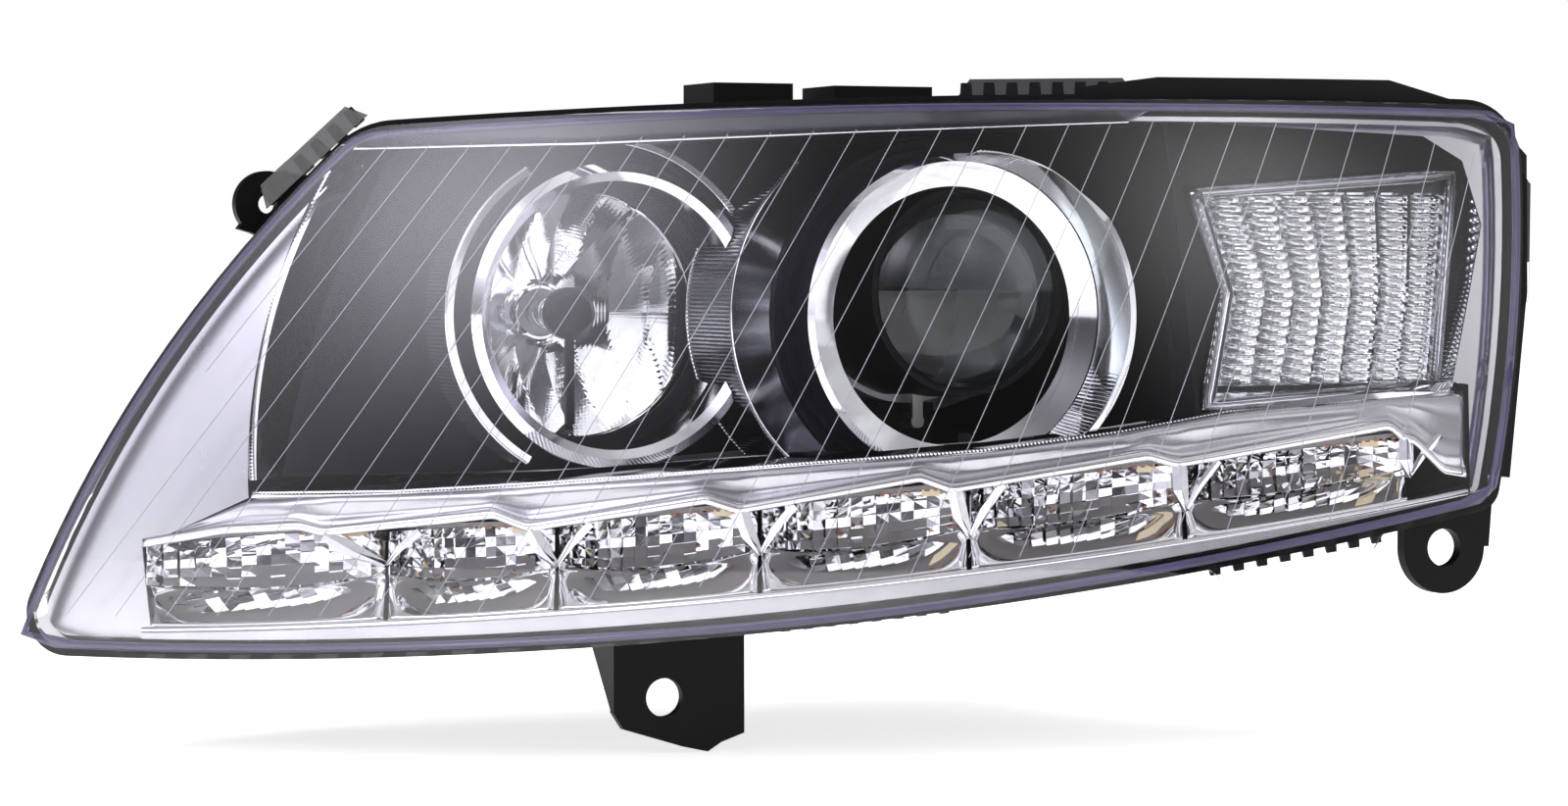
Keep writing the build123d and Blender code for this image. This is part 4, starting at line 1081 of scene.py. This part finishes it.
class HEADLIGHT_OT_projector(bpy.types.Operator):
    """Fluted cuff and collar of the projector, and the thin rims of its sleeve"""
    bl_idname = "headlight.projector"
    bl_label = "Projector trim"

    def execute(self, context):
        sizes, _ = settings()
        cuff = y_ribs("projector_cuff_ribs", 69.15, -31.5, 10.5, PROJ_X, PROJ_Z, 128, 104, sizes.flute_pitch,
                      sizes.flute_depth, "dark_chrome")
        done(cuff, BODY, "dark_chrome")
        near = ring_edge(54.5, -75.2, PROJ_X, PROJ_Z, -49, 140)
        far = ring_edge(57.6, -93, PROJ_X, PROJ_Z, -49, 140)
        collar = fluted("projector_collar_flutes", near, far, 95, 0.5 * MM, finish("ring_chrome"),
                        Vector((-1, 0, 0)), fade=ends_only, wall=0.0004)
        done(collar, BODY, "ring_chrome")
        rims = [ring_path(68.6, -32.2, PROJ_X, PROJ_Z, 129, 102),
                ring_path(69.3, 10.6, PROJ_X, PROJ_Z, 129, 102), ring_path(61.0, 12, PROJ_X, PROJ_Z, 20, 240)]
        done(beads("projector_rims", rims, 0.6 * MM, finish("ring_chrome")), BODY, "ring_chrome")
        return {"FINISHED"}


def bowl_facet(radius, turn):
    """How far a free-form facet of the high-beam bowl stands inside the plain bowl, millimetres."""
    across = radius * cos(turn)
    band = 11.5
    share = (across / band) % 1.0
    return 0.25 + 1.7 * share * (1 - share) * min(1.0, radius / 30) + 0.35 * abs(sin(turn * 3))


class HEADLIGHT_OT_high_beam(bpy.types.Operator):
    """Fluted cuff and collar, thin rims, and the facets of the high-beam bowl"""
    bl_idname = "headlight.high_beam"
    bl_label = "High-beam trim"

    def execute(self, context):
        sizes, _ = settings()
        cuff = y_ribs("high_beam_cuff_ribs", 60.2, -9.5, 15.5, HIGH_X, HIGH_Z, 120, 120, sizes.flute_pitch,
                      sizes.flute_depth, "lip_metallised")
        done(cuff, BODY, "bright_metallised")
        near = ring_edge(57.6, 11, HIGH_X - 3, HIGH_Z - 1, 33, 60)
        far = ring_edge(62.2, -9.5, HIGH_X - 3, HIGH_Z - 1, 33, 60)
        collar = fluted("high_beam_collar_flutes", near, far, 44, 0.45 * MM, finish("ring_chrome"),
                        Vector((-1, 0, -0.4)), fade=ends_only, wall=0.0004)
        done(collar, BODY, "ring_chrome")
        rims = [ring_path(60.3, -9.8, HIGH_X, HIGH_Z, 121, 118), ring_path(48.7, -17.4, HIGH_X, HIGH_Z),
                ring_path(49.2, -4, HIGH_X, HIGH_Z)]
        done(beads("high_beam_rims", [open_side(rim) for rim in rims], 0.5 * MM, finish("ring_chrome")), BODY,
             "ring_chrome")
        rows = []
        for step in range(33):
            radius = 11 + 33.3 * step / 32
            row = []
            for slice_ in range(145):
                turn = 2 * pi * slice_ / 144
                y = HIGH_APEX_Y - radius ** 2 / (4 * FOCUS) - bowl_facet(radius, turn)
                row.append(Vector((HIGH_X + radius * cos(turn), y, HIGH_Z + radius * sin(turn))) * MM)
            rows.append(row)
        bowl = face_towards(new_piece("high_beam_facets", *grid(rows), smooth=False), Vector((0, -1, 0)))
        bowl.data.materials.append(finish("reflector_metallised"))
        done(give_wall(bowl, 0.2 * MM), "beam_carrier", "reflector_metallised")
        return {"FINISHED"}


def open_side(path):
    """The part of a high-beam rim that isn't behind the projector's cuff, from its cut end on."""
    keep = [hypot(p.x / MM - PROJ_X, p.z / MM - PROJ_Z) > 71 for p in path]
    if all(keep):
        return path
    first = next(i for i in range(len(path)) if keep[i] and not keep[i - 1])
    run = path[first:] + path[1:first]
    end = next((i for i, p in enumerate(run) if hypot(p.x / MM - PROJ_X, p.z / MM - PROJ_Z) <= 71), len(run))
    return run[:end]


# ------------------------------------------------------------------ turn signal
def turn_edges(w, inset):
    """Left and right u of the turn signal's window at a height."""
    crossings = []
    for (au, aw), (bu, bw) in zip(TURN_OUTLINE, TURN_OUTLINE[1:] + TURN_OUTLINE[:1]):
        if min(aw, bw) <= w < max(aw, bw):
            crossings.append(au + (bu - au) * (w - aw) / (bw - aw))
    return min(crossings) + inset, max(crossings) - inset


class HEADLIGHT_OT_turn_signal(bpy.types.Operator):
    """Pillow prisms and a thick clear rim on the turn signal's optic, and its faceted back"""
    bl_idname = "headlight.turn_signal"
    bl_label = "Turn signal"

    def execute(self, context):
        sizes, _ = settings()
        rows, columns = sizes.prism_rows, sizes.prism_columns
        pattern = pillow(5)
        spots = []
        low, high = 113.5, 181.0
        pitch = (high - low) / rows
        for r in range(rows):
            w = low + pitch * (r + 0.5)
            left, right = turn_edges(w, 5.5)
            for c in range(columns):
                u = left + (right - left) * (c + 0.5) / columns
                side = on_crown(u + 1, w, 24) - on_crown(u - 1, w, 24)
                out = on_crown(u, w, 20) - on_crown(u, w, 24)
                spots.append((on_crown(u, w, 23.9), side, out, ((right - left) / columns * 0.98, 1, 1)))
        prisms = repeated("turn_signal_prisms", spots, pattern, finish("optic_clear"), width=MM,
                          depth=1.3 * MM, length=pitch * 0.98 * MM)
        done(prisms, BODY, "clear_polycarbonate")
        corners = [(190.5, 181.0), (201.2, 146), (193.5, 106.3), (277.5, 113), (287, 188.2)]
        path = []
        for (au, aw), (bu, bw) in zip(corners, corners[1:] + corners[:1]):
            path += [on_crown(au + (bu - au) * i / 14, aw + (bw - aw) * i / 14, 23.2) for i in range(14)]
        path.append(path[0])
        rim = beads("turn_signal_rim", [path], 2.1 * MM, finish("optic_clear"), sides=12)
        done(rim, BODY, "clear_polycarbonate")
        sheet = []
        for r in range(27):
            w = 112 + 70 * r / 26
            left, right = turn_edges(w, 4.5)
            zigzag = 4 if r % 2 else 1.6
            sheet.append([on_crown(left + (right - left) * c / 14, w, 56.5 + zigzag * ((c % 2) - 0.5))
                          for c in range(15)])
        back = face_towards(new_piece("turn_signal_facets", *grid(sheet), smooth=False), FORWARD)
        back.data.materials.append(finish("reflector_metallised"))
        done(give_wall(back, 0.4 * MM), BODY, "reflector_metallised")
        return {"FINISHED"}


# ------------------------------------------------------------------ rear of the lamp
def knurls(name, x, z, radius, y0, y1, count, body, slot_name, width=1.6, reach=0.9):
    """Grip ridges round a cap, knob or holder."""
    spots = []
    for number in range(count):
        turn = 2 * pi * number / count
        out = Vector((cos(turn), 0, sin(turn)))
        place = Vector((x, (y0 + y1) / 2, z)) * MM + out * (radius - 0.2) * MM
        spots.append((place, Vector((-sin(turn), 0, cos(turn))), out, (1, 1, 1)))
    piece = repeated(name, spots, tapered_block(0.55), finish(slot_name), width=width * MM, depth=reach * MM,
                     length=(y1 - y0) * MM)
    return done(piece, body, slot_name)


def wall_ribs(name, spots, body, slot_name, width, reach):
    """Straight ribs on the rear: (x, z, y of the foot, length, angle in degrees from upright)."""
    places = []
    for x, z, y, length, angle in spots:
        turn = radians(angle)
        places.append((Vector((x, y, z)) * MM, Vector((cos(turn), 0, -sin(turn))), Vector((0, 1, 0)),
                       (1, 1, length / 10)))
    piece = repeated(name, places, tapered_block(0.7), finish(slot_name), width=width * MM, depth=reach * MM,
                     length=10 * MM)
    return done(piece, body, slot_name)


class HEADLIGHT_OT_rear(bpy.types.Operator):
    """Grips of the service caps and knobs, ribs of the rear wall and of the control box"""
    bl_idname = "headlight.rear"
    bl_label = "Rear details"

    def execute(self, context):
        cap_grip = (REAR_Y + 14.4, REAR_Y + 16.8)
        knurls("low_cap_knurls", GLASS_X, GLASS_Z, LOW_CAP_R + 5, *cap_grip, 72, "low_cap", "black_moulding")
        knurls("high_cap_knurls", HIGH_X, HIGH_Z, HIGH_CAP_R + 5, *cap_grip, 66, "high_cap", "black_moulding")
        knurls("aiming_wheel_knurls", AIM_X, PIVOT_Z, 11, REAR_Y + 2, REAR_Y + 10.5, 30, "aiming_wheel",
               "grey_plastic", 1.3, 0.8)
        knurls("turn_holder_knurls", TURN_X, TURN_Z, 19, 11.6, 14.6, 36, "turn_holder", "grey_plastic", 1.6,
               0.8)
        wall = REAR_Y - 0.2
        ribs = [(-70, 150, wall, 60, 0), (-70, 120, wall, 40, 0), (30, 178, wall, 40, 0),
                (34, 150, wall, 34, 0), (60, 42, wall, 60, 90), (0, 52, wall, 44, 90)]
        wall_ribs("housing_ribs", ribs, BODY, "black_moulding", 2.2, 3.0)
        (x0, x1), (z0, z1) = BALLAST_X, BALLAST_Z
        fin_pitch, fin_count = 6, int((x1 - x0 - 14) / 6)
        fins = [(x0 + 10 + i * fin_pitch, (z0 + z1) / 2, REAR_Y + 25.8, z1 - z0 - 12, 0)
                for i in range(fin_count)]
        wall_ribs("ballast_fins", fins, BODY, "cast_aluminium", 2.0, 2.4)
        for name, x, z, radius, body in (("low_cap", GLASS_X, GLASS_Z, LOW_CAP_R, "low_cap"),
                                         ("high_cap", HIGH_X, HIGH_Z, HIGH_CAP_R, "high_cap")):
            paths = [ring_path(radius - 6, REAR_Y + 17.0, x, z), ring_path(radius + 1, REAR_Y + 17.0, x, z)]
            done(beads(f"{name}_rings", paths, 0.8 * MM, finish("black_moulding")), body, "black_moulding")
        return {"FINISHED"}


# ------------------------------------------------------------------ stage
def soft_light(name, place, aim, width, height, watts, colour=(1, 1, 1)):
    """A rectangular area light that looks at a point."""
    data = bpy.data.lights.new(name, "AREA")
    data.shape, data.size, data.size_y, data.energy, data.color = "RECTANGLE", width, height, watts, colour
    light = bpy.data.objects.new(name, data)
    light.location = place
    light.rotation_euler = (Vector(aim) - Vector(place)).to_track_quat("-Z", "Y").to_euler()
    light.visible_glossy = light.visible_transmission = False
    bpy.context.scene.collection.objects.link(light)
    light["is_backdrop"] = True
    return light


SOFT_PATCHES = [  # direction, sharpness, brightness, tint
    ((-0.63, -0.565, 0.53), 34, 5.0, (0.92, 0.9, 1.0)), ((0.85, -0.5, 0.2), 12, 1.3, (1, 1, 1)),
    ((0.1, -0.2, 0.97), 7, 1.1, (1, 1, 1)), ((-0.95, -0.1, 0.25), 12, 1.6, (0.93, 0.92, 1.0)),
    ((0.3, -0.85, 0.5), 60, 1.6, (1, 1, 1))]


def soft_patch(tree, direction, aim, sharpness, brightness, tint):
    """A round patch of light in the sky that fades out softly."""
    node = tree.nodes.new
    dot, power, tinted = node("ShaderNodeVectorMath"), node("ShaderNodeMath"), node("ShaderNodeVectorMath")
    front = node("ShaderNodeMath")
    dot.operation, front.operation = "DOT_PRODUCT", "MAXIMUM"
    power.operation, tinted.operation = "POWER", "SCALE"
    dot.inputs[1].default_value = Vector(aim).normalized()
    front.inputs[1].default_value = 0.0
    power.inputs[1].default_value = sharpness
    tinted.inputs[0].default_value = [channel * brightness for channel in tint]
    wire(tree, [(direction, dot.inputs[0]), (dot.outputs["Value"], front.inputs[0]),
                (front.outputs[0], power.inputs[0]), (power.outputs[0], tinted.inputs["Scale"])])
    return tinted.outputs[0]


def studio_world():
    """White to the camera; to reflections a dark room with soft patches of light."""
    world = bpy.data.worlds.new("studio")
    world.use_nodes = True
    bpy.context.scene.world = world
    tree = world.node_tree
    node = tree.nodes.new
    lit, out = tree.nodes["Background"], tree.nodes["World Output"]
    place, seen = node("ShaderNodeTexCoord"), node("ShaderNodeBackground")
    path, mix = node("ShaderNodeLightPath"), node("ShaderNodeMixShader")
    total = None
    for aim, sharpness, brightness, tint in SOFT_PATCHES:
        patch = soft_patch(tree, place.outputs["Generated"], aim, sharpness, brightness, tint)
        adder = node("ShaderNodeVectorMath")
        adder.inputs[1].default_value = (0.07, 0.07, 0.075)
        if total is not None:
            wire(tree, [(total, adder.inputs[1])])
        wire(tree, [(patch, adder.inputs[0])])
        total = adder.outputs[0]
    seen.inputs["Color"].default_value = (1, 1, 1, 1)
    wire(tree, [(total, lit.inputs["Color"]), (path.outputs["Is Camera Ray"], mix.inputs[0]),
                (lit.outputs[0], mix.inputs[1]), (seen.outputs[0], mix.inputs[2]),
                (mix.outputs[0], out.inputs["Surface"])])


class HEADLIGHT_OT_stage(bpy.types.Operator):
    """Floor, soft lights and camera"""
    bl_idname = "headlight.stage"
    bl_label = "Stage"

    def execute(self, context):
        scene = context.scene
        floor_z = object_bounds()[0][2] - 0.0002
        edge = 60.0
        floor = new_piece("floor", [(-edge, -edge, floor_z), (edge, -edge, floor_z), (edge, edge, floor_z),
                                    (-edge, edge, floor_z)], [(0, 1, 2, 3)], smooth=False)
        floor.data.materials.append(finish("floor_paper"))
        floor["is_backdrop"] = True
        studio_world()
        soft_light("key_light", (-1.0, -1.2, 1.5), (0.05, -0.05, 0.1), 1.1, 0.7, 16)
        soft_light("fill_light", (1.5, -1.1, 0.7), (0.1, -0.05, 0.1), 0.5, 1.3, 7)
        soft_light("top_light", (0.1, 0.0, 1.6), (0.05, -0.05, 0.1), 1.6, 0.6, 10)
        camera_data = bpy.data.cameras.new("camera")
        camera_data.lens, camera_data.sensor_width, camera_data.clip_start = 100, 36, 0.01
        camera = bpy.data.objects.new("camera", camera_data)
        camera.location = (-0.546934, -1.470888, 0.161044)
        aim = Vector((0.027113, -0.050072, 0.107531))
        camera.rotation_euler = (aim - camera.location).to_track_quat("-Z", "Y").to_euler()
        scene.collection.objects.link(camera)
        scene.camera = camera
        scene.view_settings.view_transform = "Standard"
        return {"FINISHED"}


# ------------------------------------------------------------------ panel and registration
class HEADLIGHT_PT_panel(bpy.types.Panel):
    """Sizes, colours and one button for each group of pieces"""
    bl_idname = "HEADLIGHT_PT_panel"
    bl_label = "Headlight"
    bl_space_type = "VIEW_3D"
    bl_region_type = "UI"
    bl_category = "Headlight"

    def draw(self, context):
        layout = self.layout
        for group in settings():
            box = layout.box()
            for label in group.__annotations__:
                box.prop(group, label)
        for operator in OPERATORS:
            layout.operator(operator.bl_idname)


OPERATORS = (
    HEADLIGHT_OT_finishes, HEADLIGHT_OT_lens, HEADLIGHT_OT_trim_flutes, HEADLIGHT_OT_brow,
    HEADLIGHT_OT_struts, HEADLIGHT_OT_daytime_cells, HEADLIGHT_OT_projector, HEADLIGHT_OT_high_beam,
    HEADLIGHT_OT_turn_signal, HEADLIGHT_OT_rear, HEADLIGHT_OT_stage)
CLASSES = (HeadlightSizes, HeadlightColours, *OPERATORS, HEADLIGHT_PT_panel)


def register():
    for entry in CLASSES:
        bpy.utils.register_class(entry)
    bpy.types.Scene.headlight_sizes = PointerProperty(type=HeadlightSizes)
    bpy.types.Scene.headlight_colours = PointerProperty(type=HeadlightColours)


def unregister():
    del bpy.types.Scene.headlight_colours
    del bpy.types.Scene.headlight_sizes
    for entry in reversed(CLASSES):
        bpy.utils.unregister_class(entry)


def main():
    register()
    for operator in OPERATORS:
        group, name = operator.bl_idname.split(".")
        getattr(getattr(bpy.ops, group), name)()


if __name__ == "__main__":
    main()
